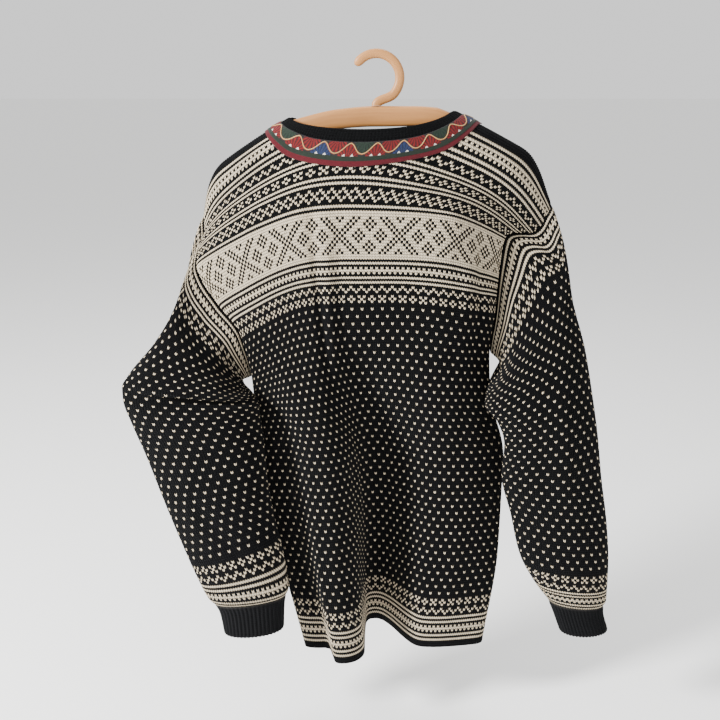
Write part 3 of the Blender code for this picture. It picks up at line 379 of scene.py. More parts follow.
def stitch_grid(half, rows):
    """Corners across, their rows, and their height from groove to crest, 0 to 1.

    Each stitch has a corner in the groove beside it and one on the crest of either leg.
    Its middle is pushed down and its sides up, which gives it its point.
    """
    middle = np.arange(-half, half + 1)
    across = np.concatenate([middle - 0.5, middle - WALE_CREST, middle + WALE_CREST])
    across = np.append(across, half + 0.5)
    across = np.unique(np.round(np.clip(across, -half, half), 4))
    from_middle = np.abs(across - np.round(across))
    high = np.clip((0.5 - from_middle) / (0.5 - WALE_CREST), 0.0, 1.0)
    lines = np.arange(rows + 1.0)[:, None] + (POINT * (1.0 - 4.0 * from_middle))[None, :]
    lines[0] = 0.0
    lines[-1] = rows
    return across, lines, high


def stitch_tones(across, half, rows, first, last, shift=0):
    """The yarn of each cell, 1 for cream, and its own tone."""
    cell = np.round((across[1:] + across[:-1]) / 2.0).astype(int)
    cream = cream_stitches(first, last, rows, np.arange(-half, half + 1))[:, cell + half]
    twist = wool_twist(cell[None, :] + shift, np.arange(rows)[:, None])
    return np.stack([cream.astype(float), twist], -1)


def zipped(a, b, a_at, b_at):
    """Triangles between two lines of corners, matched by their places along."""
    faces = []
    i = 0
    j = 0
    while i < len(a) - 1 or j < len(b) - 1:
        if j == len(b) - 1 or (i < len(a) - 1 and a_at[i + 1] <= b_at[j + 1]):
            faces.append((a[i + 1], a[i], b[j]))
            i += 1
        else:
            faces.append((a[i], b[j], b[j + 1]))
            j += 1
    return faces


def corner_grid(rows, columns):
    """The numbers of a grid's corners."""
    return np.arange(rows * columns).reshape(rows, columns)


def grid_faces(rows, columns):
    """Two triangles for each cell of a grid."""
    corner = corner_grid(rows, columns)
    a, b = corner[:-1, :-1].ravel(), corner[:-1, 1:].ravel()
    c, d = corner[1:, 1:].ravel(), corner[1:, :-1].ravel()
    return np.stack([np.stack([a, b, c], -1), np.stack([a, c, d], -1)], 1).reshape(-1, 3)


def volume(points, faces):
    """Six times the room inside closed faces; it is below 0 where they face inwards."""
    a, *rest = (points[faces[:, k]] for k in range(faces.shape[1]))
    return sum(np.sum(np.cross(a, b) * c) for b, c in zip(rest, rest[1:]))


def knitted_object(name, points, faces, places, yarn):
    """An object with the knitting's own map, and its yarn, tone and inside as a colour."""
    if volume(points, faces) < 0.0:
        faces = faces[:, ::-1]
        places = places[:, ::-1]
    size = faces.shape[1]
    mesh = bpy.data.meshes.new(name)
    mesh.vertices.add(len(points))
    mesh.vertices.foreach_set("co", points.astype(np.float32).ravel())
    mesh.loops.add(faces.size)
    mesh.loops.foreach_set("vertex_index", faces.astype(np.int32).ravel())
    mesh.polygons.add(len(faces))
    mesh.polygons.foreach_set("loop_start", np.arange(0, faces.size, size, dtype=np.int32))
    mesh.polygons.foreach_set("use_smooth", np.ones(len(faces), bool))
    mesh.update()
    mesh.validate()
    uv = mesh.uv_layers.new(name="knitting")
    uv.data.foreach_set("uv", (places / MAP_STITCHES + 0.5).astype(np.float32).ravel())
    colour = np.ones((len(faces), size, 4), np.float32)
    colour[..., :3] = yarn[:, None, :]
    layer = mesh.color_attributes.new(name="yarn", type="FLOAT_COLOR", domain="CORNER")
    layer.data.foreach_set("color", colour.ravel())
    return put_in_scene(name, mesh)


def cloth_object(name, outer, outer_id, inner, inner_id, places, tones, rims):
    """Make a closed wall of cloth from two grids of corners.

    outer and inner are grids of points, and outer_id and inner_id say which corner
    stands for each, where corners merge.  places holds the outer grid's stitch and row
    for the knitting's own map, and tones the yarn and tone of each of its cells.  rims
    lists pairs of lines, as places in the two grids and the distances along them, that
    close the wall's edges.
    """
    flat_outer = outer_id.ravel()
    flat_inner = inner_id.ravel() + flat_outer.size
    faces = grid_faces(*outer.shape[:2])
    shown = len(faces)
    ids = [flat_outer[faces], flat_inner[grid_faces(*inner.shape[:2])[:, ::-1]]]
    for outer_line, inner_line, outer_at, inner_at in rims:
        ids.append(zipped(flat_outer[outer_line], flat_inner[inner_line], outer_at, inner_at))
    ids = np.concatenate(ids)
    place = np.zeros((len(ids), 3, 2))
    place[:shown] = places.reshape(-1, 2)[faces]
    yarn = np.zeros((len(ids), 3))
    yarn[:shown, :2] = tones.reshape(-1, 2).repeat(2, axis=0)
    yarn[shown:, 2] = 1.0
    whole = (ids[:, 0] != ids[:, 1]) & (ids[:, 1] != ids[:, 2]) & (ids[:, 0] != ids[:, 2])
    used, compact = np.unique(ids[whole].ravel(), return_inverse=True)
    points = np.concatenate([outer.reshape(-1, 3), inner.reshape(-1, 3)])[used]
    return knitted_object(name, points, compact.reshape(-1, 3), place[whole], yarn[whole])


def creased(across, down, creases):
    """Height of small folds over the cloth, in metres, from a table of soft ridges."""
    height = np.zeros(np.broadcast(across, down).shape)
    for x0, y0, x1, y1, wide, tall in creases:
        long = math.hypot(x1 - x0, y1 - y0)
        ahead_x = (x1 - x0) / long
        ahead_y = (y1 - y0) / long
        share = ((across - x0) * ahead_x + (down - y0) * ahead_y) / long
        off = (down - y0) * ahead_x - (across - x0) * ahead_y
        ends = smooth(share / 0.3) * smooth((1.0 - share) / 0.3)
        height = height + tall / 1000.0 * ends * np.exp(-((off / wide) ** 2))
    return height


def near_seam(away):
    """1 on a sewn edge, less within two stitches of it."""
    return np.exp(-(away**2) / 1.6)


NECK_STITCH = 24.5          # half width of the neck at the outer edge of the felt
NECK_ROW_BACK = 26.0        # depth of the neck there, at the back
TRIM_STITCHES = 7.0         # width of the whole neck trim at the shoulders
TRIM_ROWS = 12.5            # width of the whole neck trim at the middle
CUT_SHARE = 0.62            # share of the trim's width at which the knitting is cut


def panel_grid(across, lines, neck_row):
    """Stitch and row of a panel's corners, with those above the neck's edge merged."""
    half_wide = NECK_STITCH - CUT_SHARE * TRIM_STITCHES
    deep = neck_row - CUT_SHARE * TRIM_ROWS
    edge = deep * np.sqrt(np.clip(1.0 - (across / half_wide) ** 2, 0.0, 1.0))
    stitch = np.broadcast_to(across, lines.shape)
    first = np.maximum(np.argmax(lines > edge, axis=0) - 1, 0)
    k = np.maximum(np.arange(len(lines))[:, None], first)
    return stitch, np.maximum(lines, edge), k * len(across) + np.arange(len(across))


def knit_panel(name, at, outward_y, neck_row, creases):
    """One panel, knitted stitch by stitch from the shoulder to the hem."""

    def skin(stitch, row, rise):
        """Points raised square from the hanging cloth."""
        along = at(stitch + 2.0, row) - at(stitch - 2.0, row)
        fall = at(stitch, row + 1.0) - at(stitch, row - 1.0)
        return at(stitch, row) + unit(np.cross(along, fall)) * outward_y * rise[..., None]

    across, lines, high = stitch_grid(HALF_PANEL, LAST_ROW)
    stitch, row, outer_id = panel_grid(across, lines, neck_row)
    dip = np.minimum(near_seam(HALF_PANEL - np.abs(stitch)) + near_seam(row), 1.0)
    rise = creased(stitch, row, creases) + (high - 0.5) * WALE_RELIEF - SEAM_DIP * dip
    outer = skin(stitch, row, rise)

    in_across = np.linspace(-HALF_PANEL, HALF_PANEL, int(2 * HALF_PANEL / INNER_STITCHES) + 1)
    in_lines = np.linspace(0.0, LAST_ROW, int(LAST_ROW / INNER_STITCHES) + 1)[:, None]
    in_lines = np.broadcast_to(in_lines, (len(in_lines), len(in_across)))
    in_stitch, in_row, inner_id = panel_grid(in_across, in_lines, neck_row)
    inner = skin(in_stitch, in_row, creased(in_stitch, in_row, creases) - CLOTH)

    corner, in_corner = corner_grid(*lines.shape), corner_grid(*in_lines.shape)
    rims = [
        (corner[0], in_corner[0], across, in_across),
        (corner[:, -1], in_corner[:, -1], row[:, -1], in_row[:, -1]),
        (corner[-1, ::-1], in_corner[-1, ::-1], -across[::-1], -in_across[::-1]),
        (corner[::-1, 0], in_corner[::-1, 0], -row[::-1, 0], -in_row[::-1, 0]),
    ]
    tones = stitch_tones(across, HALF_PANEL, LAST_ROW, YOKE, HEM)
    places = np.stack([stitch, row], -1)
    return cloth_object(name, outer, outer_id, inner, inner_id, places, tones, rims)


# Small folds over the deep ones, where a height below 0 makes a trough.
# columns: stitch, row, stitch, row, half width in stitches, height in millimetres
BACK_CREASES = [
    (-10.5, 26, -12.5, 116, 2.6, -4.6), (-5.5, 28, -7.0, 114, 3.4, 2.4),
    (57, 34, 58, 116, 2.6, -3.6), (51, 40, 50, 112, 3.4, 2.2),
    (-52, 84, -30, 118, 3.5, 2.2), (-58, 96, -38, 140, 3.0, -1.8),
    (50, 80, 30, 112, 3.5, 1.8), (57, 98, 44, 150, 3.0, -1.6),
    (-12, 120, -6, 178, 2.6, 1.8), (20, 128, 24, 190, 2.8, -1.8),
    (-40, 150, -44, 214, 3.0, 1.6), (48, 160, 46, 218, 3.4, 1.6),
    (-30, 26, -44, 52, 3.5, 1.4), (26, 22, 46, 46, 3.5, 1.4),
]
back = knit_panel("back_knit", back_at, -1.0, NECK_ROW_BACK, BACK_CREASES)


def add_node(tree, kind, feeds, **settings):
    """A node with its settings, fed with numbers or other nodes' outputs; its outputs."""
    made = tree.nodes.new(kind)
    for setting, value in settings.items():
        setattr(made, setting, value)
    for socket, value in feeds.items():
        if isinstance(value, bpy.types.NodeSocket):
            tree.links.new(value, made.inputs[socket])
        else:
            made.inputs[socket].default_value = value
    return made.outputs


def add_math(tree, operation, *values):
    """A Math node's output."""
    return add_node(tree, "ShaderNodeMath", dict(enumerate(values)), operation=operation)[0]


def add_mix(tree, share, one, other):
    """A colour between two others."""
    return add_node(tree, "ShaderNodeMix", {0: share, 6: one, 7: other}, data_type="RGBA")[2]


def add_noise(tree, scale, detail, where=None, distortion=0.0):
    """An uneven tone from 0 to 1, laid through the piece unless another place is given."""
    if where is None:
        where = add_node(tree, "ShaderNodeTexCoord", {})["Object"]
    feeds = {"Vector": where, "Scale": scale, "Detail": detail, "Distortion": distortion}
    return add_node(tree, "ShaderNodeTexNoise", feeds)["Fac"]


def add_place(tree):
    """Stitch and row, or the like, from the piece's own map."""
    place = add_node(tree, "ShaderNodeUVMap", {}, uv_map="knitting")[0]
    split = add_node(tree, "ShaderNodeSeparateXYZ", {0: place})
    return [add_math(tree, "MULTIPLY", split[k], MAP_STITCHES) for k in (0, 1)]


def finish_surface(tree, colour, tone, relief, strength, depth):
    """Give the shader a colour, dimmed by a tone, and bumps; the depth is in metres."""
    if tone is not None:
        feeds = {0: colour, "Scale": tone}
        colour = add_node(tree, "ShaderNodeVectorMath", feeds, operation="SCALE")[0]
    feeds = {"Strength": strength, "Distance": depth, "Height": relief}
    bump = add_node(tree, "ShaderNodeBump", feeds)[0]
    shader = tree.nodes["Principled BSDF"]
    tree.links.new(colour, shader.inputs["Base Color"])
    tree.links.new(bump, shader.inputs["Normal"])


# Near-black and natural cream wool.  Each stitch is two plump slanting legs, with painted shade
# in the grooves round them.
DARK_WOOL = (0.0026, 0.0026, 0.0029, 1.0)
CREAM_WOOL = (0.95, 0.80, 0.58, 1.0)
FLOAT_WOOL = (0.05, 0.047, 0.043, 1.0)


def wool_material(name, dark):
    """Stranded knitting: the yarns' colours, fibres, the legs of every stitch, and painted shade
    in the grooves round them.
    """
    material, tree = new_material(
        name, Roughness=0.88, Specular_IOR_Level=0.06, Sheen_Weight=0.02, Sheen_Roughness=0.55,
        Sheen_Tint=(0.75, 0.78, 0.85, 1.0),
    )
    calc = partial(add_math, tree)
    yarn = add_node(tree, "ShaderNodeVertexColor", {}, layer_name="yarn")["Color"]
    is_cream, twist, inside = add_node(tree, "ShaderNodeSeparateColor", {0: yarn})[:3]
    across, down = add_place(tree)
    # from 0 in a stitch's middle to 1 in the groove between two wales
    off = calc("ABSOLUTE", calc("SUBTRACT", calc("FRACT", calc("ADD", across, 0.5)), 0.5))
    off = calc("MULTIPLY", off, 2.0)
    along = calc("FRACT", calc("ADD", calc("SUBTRACT", down, POINT), calc("MULTIPLY", off, 0.5)))
    plump = calc("POWER", calc("SINE", calc("MULTIPLY", along, math.pi)), 0.85)
    leg = calc("POWER", calc("SINE", calc("MULTIPLY", off, math.pi)), 0.75)
    strand = calc("MULTIPLY", plump, leg)
    # floats of both yarns show on the inside
    base = add_mix(tree, is_cream, dark, CREAM_WOOL)
    base = add_mix(tree, calc("MULTIPLY", inside, 0.9), base, FLOAT_WOOL)
    shade = calc("MULTIPLY_ADD", twist, 0.16, 0.80)
    shade = calc("MULTIPLY_ADD", add_noise(tree, 26.0, 3.0), 0.16, shade)
    # painted shade: each stitch's colour darkens towards the grooves round its legs, down to 6
    # per cent
    shade = calc("MULTIPLY", shade, calc("MULTIPLY_ADD", strand, 0.94, 0.06))
    relief = calc("MULTIPLY_ADD", add_noise(tree, 1500.0, 2.0), 0.35, strand)
    finish_surface(tree, base, shade, relief, 1.0, 0.0011)
    return material


wool = wool_material("wool", DARK_WOOL)
back.data.materials.append(wool)
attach(back, "root")
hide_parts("back")

# ================================================================ front of the body
# A panel like the back's with a deeper neck.  It meets the back along the shoulders and
# below the armholes, and has turns of its own; it falls as the back does.
NECK_ROW_FRONT = 42.0       # depth of the neck at the outer edge of the felt
GAPE = 0.058                # widest opening of the armhole, from its back edge to its front
YOKE_DEEP = 0.036           # how far the front bows out over its two edges
# columns: stitch, turn
FRONT_CHEST = [
    (-70, 76), (-60, 34), (-44, 14), (-28, 10), (-12, 4), (0, 0), (16, -2), (32, -8),
    (46, -22), (60, -40), (70, -74),
]
FRONT_HEM = [
    (-70, 82), (-64, 66), (-54, 24), (-46, -28), (-38, -30), (-30, 30), (-18, 56), (-6, 34),
    (4, -10), (14, -52), (24, -44), (33, 24), (42, 30), (52, -34), (62, -66), (70, -82),
]
# columns: row, middle x, middle y; centimetres
FRONT_PLACES = [
    (0, -0.8, 0.6), (13, -1.8, 4.6), (40, -3.6, 6.6), (76, -3.0, 7.4), (112, -1.6, 7.6),
    (142, -0.6, 7.4), (184, 0.4, 8.0), (LAST_ROW, 0.8, 8.6),
]
# columns: as for the back's creases
FRONT_CREASES = [
    (-48, 78, -26, 110, 3.5, 2.0), (46, 74, 28, 108, 3.5, 2.0),
    (10, 120, 16, 190, 3.0, 1.8), (-24, 130, -20, 196, 3.0, -1.8),
    (40, 140, 44, 210, 3.2, 1.6), (-50, 150, -46, 214, 3.0, -1.6),
]


def armhole_gape(row):
    """How far the front edge of an armhole stands from its back edge."""
    share = np.clip(row / ARMHOLE_ROW, 0.0, 1.0)
    power = np.where(share < 0.5, 1.0, 0.6)
    return GAPE * np.sin(np.pi * share) ** power


def hang_front(plain, steps):
    """The front panel mirrors the back about the shoulders and has its own folds below."""
    points = plain - steps
    across = (GRID_STITCH + HALF_PANEL) / (2.0 * HALF_PANEL)
    bow = 1.0 - np.abs(2.0 * across - 1.0) ** 6
    chest_turn = np.radians(curve(FRONT_CHEST, 1, GRID_STITCH))
    hem_turn = np.radians(curve(FRONT_HEM, 1, GRID_STITCH))
    for i, row in enumerate(GRID_ROW):
        # The two edges of the front, which meet the back's again at the underarm.
        gape = armhole_gape(row)
        left = points[i, 0] + (gape * max(0.0, 1.0 - row / ARMHOLE_ROW), gape, 0.0)
        right = points[i, -1] + (0.0, gape, 0.0)
        mid_x, mid_y = [curve(FRONT_PLACES, column, row) / 100.0 for column in (1, 2)]
        low = smooth((row - CHEST_ROW) / (LAST_ROW - CHEST_ROW))
        turn = chest_turn + (hem_turn - chest_turn) * low
        x = mid_x + pinned(run(np.cos(turn) * STITCH), left[0] - mid_x, right[0] - mid_x)
        y = mid_y + pinned(run(np.sin(turn) * STITCH), left[1] - mid_y, right[1] - mid_y)
        # In the yoke the shoulder line's own shape fades into a line between the edges.
        fade = smooth(row / 40.0)
        ridge = plain[0, :, 1] - steps[i, :, 1]
        shift_left = left[1] - ridge[0]
        shift_right = right[1] - ridge[-1]
        ridge = ridge + shift_left + (shift_right - shift_left) * across
        edge = left[1] + (right[1] - left[1]) * across
        deep = YOKE_DEEP * (smooth((row + 2.0) / 62.0) - smooth(2.0 / 62.0))
        yoke_y = ridge * (1.0 - fade) + edge * fade + deep * bow
        level = smooth(row / 26.0)
        yoke_x = points[i, :, 0] + (left[0] - points[i, 0, 0]) * (1.0 - across)
        yoke_x = yoke_x * (1.0 - level) + (left[0] + (right[0] - left[0]) * across) * level
        own = smooth((row - 20.0) / 70.0)
        points[i, :, 0] = yoke_x * (1.0 - own) + x * own
        points[i, :, 1] = yoke_y * (1.0 - own) + y * own
    return points


front_at = reader(hang_front(plain_back, roll_steps()))
front = knit_panel("front_knit", front_at, 1.0, NECK_ROW_FRONT, FRONT_CREASES)
front.data.materials.append(wool)
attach(front, "root")
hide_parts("front")

# ================================================================ two sleeves
# Each sleeve is knitted round as a tube and narrowed under the arm.  It is sewn to the
# straight edges of the two panels and hangs from the dropped shoulder, flattened.
# It leaves the armhole as the seam's own loop and soon becomes a flattened tube.
ROW = 0.00355               # length of one row
SLEEVE_SETTLES = 13.0       # distance over which the loop becomes the plain tube, in cm
SLEEVE_STEPS = 240          # even steps round the smooth tube that the stitches are set on
INNER_EVERY = 5             # the inside has a corner at every fifth of those steps
# share is the part of the way round, from the underarm over the back, at which the
# tube's outer edge lies.
# columns: along, outer x, outer y, outer z, inner x, inner y, inner z, back depth,
#          front depth, share; centimetres
LEFT_SLEEVE = [
    (0.0, -24.4, 0.4, -25.2, -16.9, -1.5, -41.6, 2.6, 7.0, 0.30),
    (6.5, -26.0, -1.6, -31.0, -18.1, -2.4, -42.0, 3.0, 6.6, 0.32),
    (13.0, -29.6, -4.4, -36.6, -17.7, -4.0, -42.6, 4.0, 5.6, 0.35),
    (18.5, -32.8, -6.0, -40.4, -16.6, -4.9, -43.2, 4.9, 4.8, 0.38),
    (20.5, -33.5, -6.6, -41.7, -16.1, -5.1, -43.7, 3.6, 4.4, 0.39),
    (22.5, -33.4, -6.8, -43.4, -15.7, -5.5, -44.2, 4.2, 4.2, 0.40),
    (26.0, -32.5, -6.8, -46.4, -15.6, -5.4, -45.9, 4.4, 4.0, 0.41),
    (31.0, -30.9, -6.6, -51.0, -15.1, -5.7, -49.6, 4.1, 3.8, 0.43),
    (37.0, -28.9, -6.4, -57.4, -14.7, -6.2, -55.0, 4.0, 3.6, 0.45),
    (43.0, -26.7, -6.0, -64.4, -13.9, -5.8, -60.8, 3.7, 3.3, 0.47),
    (48.0, -24.8, -5.6, -70.0, -12.8, -5.5, -66.6, 3.4, 3.0, 0.49),
    (51.5, -23.5, -5.2, -73.2, -12.2, -5.3, -71.8, 3.0, 2.8, 0.50),
    (52.5, -22.8, -5.1, -74.1, -12.6, -5.1, -72.8, 2.4, 2.4, 0.50),
]
RIGHT_SLEEVE = [
    (0.0, 23.4, 1.2, -20.0, 15.8, -0.8, -39.0, 3.0, 5.4, 0.50),
    (6.5, 24.9, -0.4, -25.6, 16.6, -2.4, -40.8, 3.8, 5.4, 0.49),
    (13.0, 26.3, -2.0, -31.6, 15.4, -4.2, -42.6, 4.4, 5.0, 0.48),
    (19.0, 27.8, -3.4, -37.2, 14.8, -5.6, -44.8, 4.6, 4.6, 0.48),
    (24.0, 28.7, -4.4, -42.2, 16.4, -6.2, -46.8, 4.6, 4.4, 0.48),
    (30.0, 29.8, -5.0, -48.2, 17.5, -6.2, -50.4, 4.4, 4.2, 0.48),
    (36.0, 30.8, -5.2, -54.8, 17.3, -5.8, -54.6, 4.2, 4.0, 0.49),
    (43.0, 32.0, -5.2, -61.6, 18.8, -5.4, -60.6, 4.0, 3.8, 0.49),
    (49.0, 32.7, -5.0, -67.8, 20.3, -5.2, -66.6, 3.6, 3.4, 0.50),
    (53.0, 32.8, -5.0, -71.6, 22.4, -5.0, -70.6, 3.1, 2.9, 0.50),
    (56.0, 32.8, -5.0, -73.6, 24.0, -5.0, -72.8, 2.8, 2.7, 0.50),
    (57.0, 32.4, -5.0, -74.4, 24.7, -5.0, -73.7, 2.4, 2.4, 0.50),
]
# Way the cloth leaves the armhole, as shares of the distance along.
# columns: share of the way round, x, y, z
LEFT_LEAVES = [
    (0.0, -0.20, -0.14, -0.06), (0.15, -0.60, -0.25, -0.40), (0.30, -0.45, -0.20, -0.80),
    (0.50, -0.55, 0.05, -0.78), (0.75, -0.72, 0.25, -0.50), (1.0, -0.20, -0.14, -0.06),
]
RIGHT_LEAVES = [
    (0.0, 0.28, -0.18, -0.14), (0.15, 0.45, -0.45, -0.25), (0.30, 0.80, -0.25, -0.40),
    (0.50, 0.40, 0.05, -0.90), (0.75, 0.75, 0.30, -0.45), (1.0, 0.28, -0.18, -0.14),
]
# columns: as for the back's creases
LEFT_CREASES = [
    (-62, 22, -40, 44, 3.5, 2.2), (-40, 50, -18, 58, 2.6, 2.6),
    (-40, 56, -16, 66, 2.6, -2.2), (-30, 84, -14, 124, 2.6, 1.6),
    (-22, 96, -30, 138, 2.8, -1.4), (20, 30, 34, 90, 3.5, 1.8), (30, 60, 22, 130, 3.0, -1.6),
]
RIGHT_CREASES = [
    (-50, 20, -34, 52, 3.5, 2.0), (-26, 40, -22, 118, 4.2, 3.0),
    (-36, 64, -30, 110, 2.8, -1.8), (-12, 80, -16, 150, 3.0, -1.6),
    (20, 34, 30, 96, 3.5, 1.8), (32, 80, 24, 146, 3.0, -1.6),
]


def armhole(side, u):
    """The armhole's edge, from the underarm over the back to the shoulder and round."""
    row = ARMHOLE_ROW * np.abs(1.0 - 2.0 * u)
    over_back = (u <= 0.5)[..., None]
    return np.where(over_back, back_at(side * HALF_PANEL, row), front_at(side * HALF_PANEL, row))


def tube(table, u, along):
    """A flattened tube: half an oval over the back, half an oval over the front."""
    value = [curve(table, column, along) for column in range(1, 10)]
    outer = np.stack(value[0:3], -1) / 100.0
    inner = np.stack(value[3:6], -1) / 100.0
    share = value[8]
    reach = (outer - inner) / 2.0
    wide = np.linalg.norm(reach, axis=-1)
    over = u <= share
    part = np.where(over, u / share, (u - share) / (1.0 - share))
    deep = np.where(over, value[6], value[7]) / 100.0
    # Even steps of arc along each half oval.
    angle = np.linspace(0.0, math.pi, 61)
    across = -np.cos(angle)
    bulge = np.sin(angle) ** 0.85
    step = np.hypot(np.diff(across) * wide.reshape(-1, 1), np.diff(bulge) * deep.reshape(-1, 1))
    arc = np.pad(np.cumsum(step, axis=1), ((0, 0), (1, 0)))
    arc = arc / arc[:, -1:]
    pairs = list(zip(part.ravel(), arc))
    a = np.array([np.interp(flat, at, across) for flat, at in pairs]).reshape(part.shape)
    b = np.array([np.interp(flat, at, bulge) for flat, at in pairs]).reshape(part.shape)
    sign = np.where(over, 1.0, -1.0)
    depth = unit(np.cross(reach, np.cross(reach, (0.0, 1.0, 0.0))))
    depth = depth * np.where(depth[..., 1:2] > 0, -1.0, 1.0)
    middle = (outer + inner) / 2.0
    return middle + reach * (a * sign)[..., None] + depth * (b * deep * sign)[..., None]


def sleeve(side, table, leaves, u, along):
    """Points of a sleeve's outer face; u runs round from the underarm, 0 to 1."""
    way = np.stack([curve(leaves, column, u) for column in (1, 2, 3)], -1)
    start = armhole(side, u) + way * (along / 100.0)[..., None]
    share = smooth(along / SLEEVE_SETTLES)[..., None]
    return start * (1.0 - share) + tube(table, u, along) * share


def ring_normals(points):
    """Unit outward normals of a closed grid, rows along and columns round."""
    round_it = np.roll(points, -1, axis=1) - np.roll(points, 1, axis=1)
    normal = unit(np.cross(round_it, np.gradient(points, axis=0)))
    away = points - points.mean(axis=1, keepdims=True)
    flip = np.sign(np.sum(normal * away, axis=(1, 2)))
    return normal * flip[:, None, None]


def knit_sleeve(name, side, table, leaves, creases):
    """One sleeve, knitted stitch by stitch from the armhole to the cuff."""
    length = table[-1][0] / 100.0 - 0.0003
    rows = int(round(length / ROW))
    steps = np.arange(SLEEVE_STEPS + 1.0)
    around, down = np.meshgrid(steps / SLEEVE_STEPS, np.linspace(0.0, length * 100.0, rows + 1))
    tube_points = sleeve(side, table, leaves, around, down)
    normal = ring_normals(tube_points[:, :-1])
    normal = np.concatenate([normal, normal[:, :1]], axis=1)
    arc = np.linalg.norm(np.diff(tube_points, axis=1), axis=2)
    arc = np.pad(np.cumsum(arc, axis=1), ((0, 0), (1, 0)))
    girth = arc[:, -1]
    middle = arc[:, SLEEVE_STEPS // 2]
    # Fewer stitches go round as the sleeve narrows, two at a time under the arm.
    count = 2.0 * np.round(np.minimum.accumulate(girth / STITCH) / 2.0)

    half = int(math.ceil(np.max(np.maximum(middle, girth - middle) / girth * count))) + 1
    across, lines, high = stitch_grid(half, rows)
    stitch = np.broadcast_to(across, lines.shape)
    # Corners beyond the underarm line merge there.
    k = np.minimum(np.arange(rows + 1), rows - 1)[:, None]
    at = middle[k] + stitch * girth[k] / count[k]
    beyond = (at <= 0.0) | (at >= girth[k])
    lines = np.where(beyond, np.arange(rows + 1.0)[:, None], lines)
    low = np.clip(lines.astype(int), 0, rows - 1)
    laid = np.zeros(lines.shape + (6,))
    for m in range(rows + 1):
        source = np.concatenate([tube_points[m], normal[m]], axis=-1)
        for near, weight in ((0, 1.0 - (lines - low)), (1, lines - low)):
            here = low + near == m
            at = middle[m] + stitch[here] * girth[m] / count[m]
            step = np.interp(np.clip(at, 0.0, girth[m]), arc[m], steps)
            for axis in range(6):
                laid[here, axis] += np.interp(step, steps, source[:, axis]) * weight[here]
    relief = np.where(beyond, -0.5 * WALE_RELIEF, (high - 0.5) * WALE_RELIEF)
    rise = relief + creased(stitch, lines, creases) - SEAM_DIP * near_seam(lines)
    outer = laid[..., :3] + unit(laid[..., 3:]) * rise[..., None]
    corner = corner_grid(*lines.shape)
    outer_id = np.where(beyond, corner[:, :1], corner)

    in_rows = np.linspace(0.0, rows, int(rows / INNER_STITCHES) + 1)
    in_low = np.clip(in_rows.astype(int), 0, rows - 1)
    in_share = (in_rows - in_low)[:, None, None]

    def between(values):
        """Values at the inside's corners, from those at the rows above and below."""
        part = in_share if values.ndim == 3 else in_share[..., 0]
        picked = values[:, ::INNER_EVERY]
        return picked[in_low] * (1 - part) + picked[in_low + 1] * part

    in_arc = between(arc)
    in_middle = (middle[in_low] + np.diff(middle)[in_low] * in_share[:, 0, 0])[:, None]
    in_stitch = (in_arc - in_middle) * (count / girth)[in_low][:, None]
    in_lift = creased(in_stitch, in_rows[:, None], creases) - CLOTH
    inner = between(tube_points) + unit(between(normal)) * in_lift[..., None]
    in_corner = corner_grid(*in_arc.shape)
    inner_id = in_corner.copy()
    inner_id[:, -1] = inner_id[:, 0]

    ends = [np.clip(middle[m] + across * girth[m] / count[m], 0.0, girth[m]) for m in (0, -1)]
    in_ends = [arc[m, ::INNER_EVERY] for m in (0, -1)]
    low_end, in_low_end = (girth[-1] - line[-1][::-1] for line in (ends, in_ends))
    rims = [
        (corner[0], in_corner[0], ends[0], in_ends[0]),
        (corner[-1, ::-1], in_corner[-1, ::-1], low_end, in_low_end),
    ]
    tones = stitch_tones(across, half, rows, UNDER_STARS, LOWER_EDGE, 31 * side)
    places = np.stack([stitch, lines], -1)
    return (
        cloth_object(name, outer, outer_id, inner, inner_id, places, tones, rims),
        (float(girth.max()), length, float(np.sum(girth[:-1]) * length / rows)),
    )


for side, table, leaves, creases, name, node in (
    (-1, LEFT_SLEEVE, LEFT_LEAVES, LEFT_CREASES, "sleeve_left_knit", "sleeve_left"),
    (1, RIGHT_SLEEVE, RIGHT_LEAVES, RIGHT_CREASES, "sleeve_right_knit", "sleeve_right"),
):
    piece, cut = knit_sleeve(name, side, table, leaves, creases)
    piece.data.materials.append(wool)
    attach(piece, "root")
    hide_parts(node)

# ================================================================ two cuffs
# The cuffs are ribbed tubes, one knit stitch beside one purl, picked up from the sleeves'
# ends in near-black wool.  The ribbing draws the wrist in and ends in a rounded edge.
#
# columns: as for the sleeves
LEFT_CUFF = [
    (0.0, -22.8, -5.1, -74.1, -12.6, -5.1, -72.8, 2.4, 2.4, 0.5),
    (1.2, -22.1, -5.1, -75.1, -12.9, -5.1, -74.0, 2.3, 2.3, 0.5),
    (5.4, -21.4, -5.1, -78.8, -13.1, -5.1, -78.0, 2.5, 2.5, 0.5),
]
RIGHT_CUFF = [
    (0.0, 32.4, -5.0, -74.4, 24.7, -5.0, -73.7, 2.4, 2.4, 0.5),
    (1.2, 32.4, -5.0, -75.2, 25.2, -5.0, -74.8, 2.3, 2.3, 0.5),
    (5.4, 33.2, -5.0, -78.3, 26.6, -5.0, -78.5, 2.5, 2.5, 0.5),
]
CUFF_RIBS = 40
CUFF_RIB_HEIGHT = 0.0013
CUFF_LONG = 5.4             # centimetres
CUFF_ROW = 0.30             # length of one of its rows, in centimetres


def new_tree(name, **values):
    """A node tree that takes a mesh, values and a material; gives it and what comes in."""
    tree = bpy.data.node_groups.new(name, "GeometryNodeTree")
    for label, kind in {"Geometry": "Geometry", **values, "Material": "Material"}.items():
        tree.interface.new_socket(label, in_out="INPUT", socket_type="NodeSocket" + kind)
    tree.interface.new_socket("Geometry", in_out="OUTPUT", socket_type="NodeSocketGeometry")
    return tree, add_node(tree, "NodeGroupInput", {})


def close_tree(tree, entry, shape):
    """Make the shape real, give it its material and send it out."""
    real = add_node(tree, "GeometryNodeRealizeInstances", {0: shape})[0]
    feeds = {"Geometry": real, "Material": entry["Material"]}
    add_node(tree, "NodeGroupOutput", {0: add_node(tree, "GeometryNodeSetMaterial", feeds)[0]})
    return tree


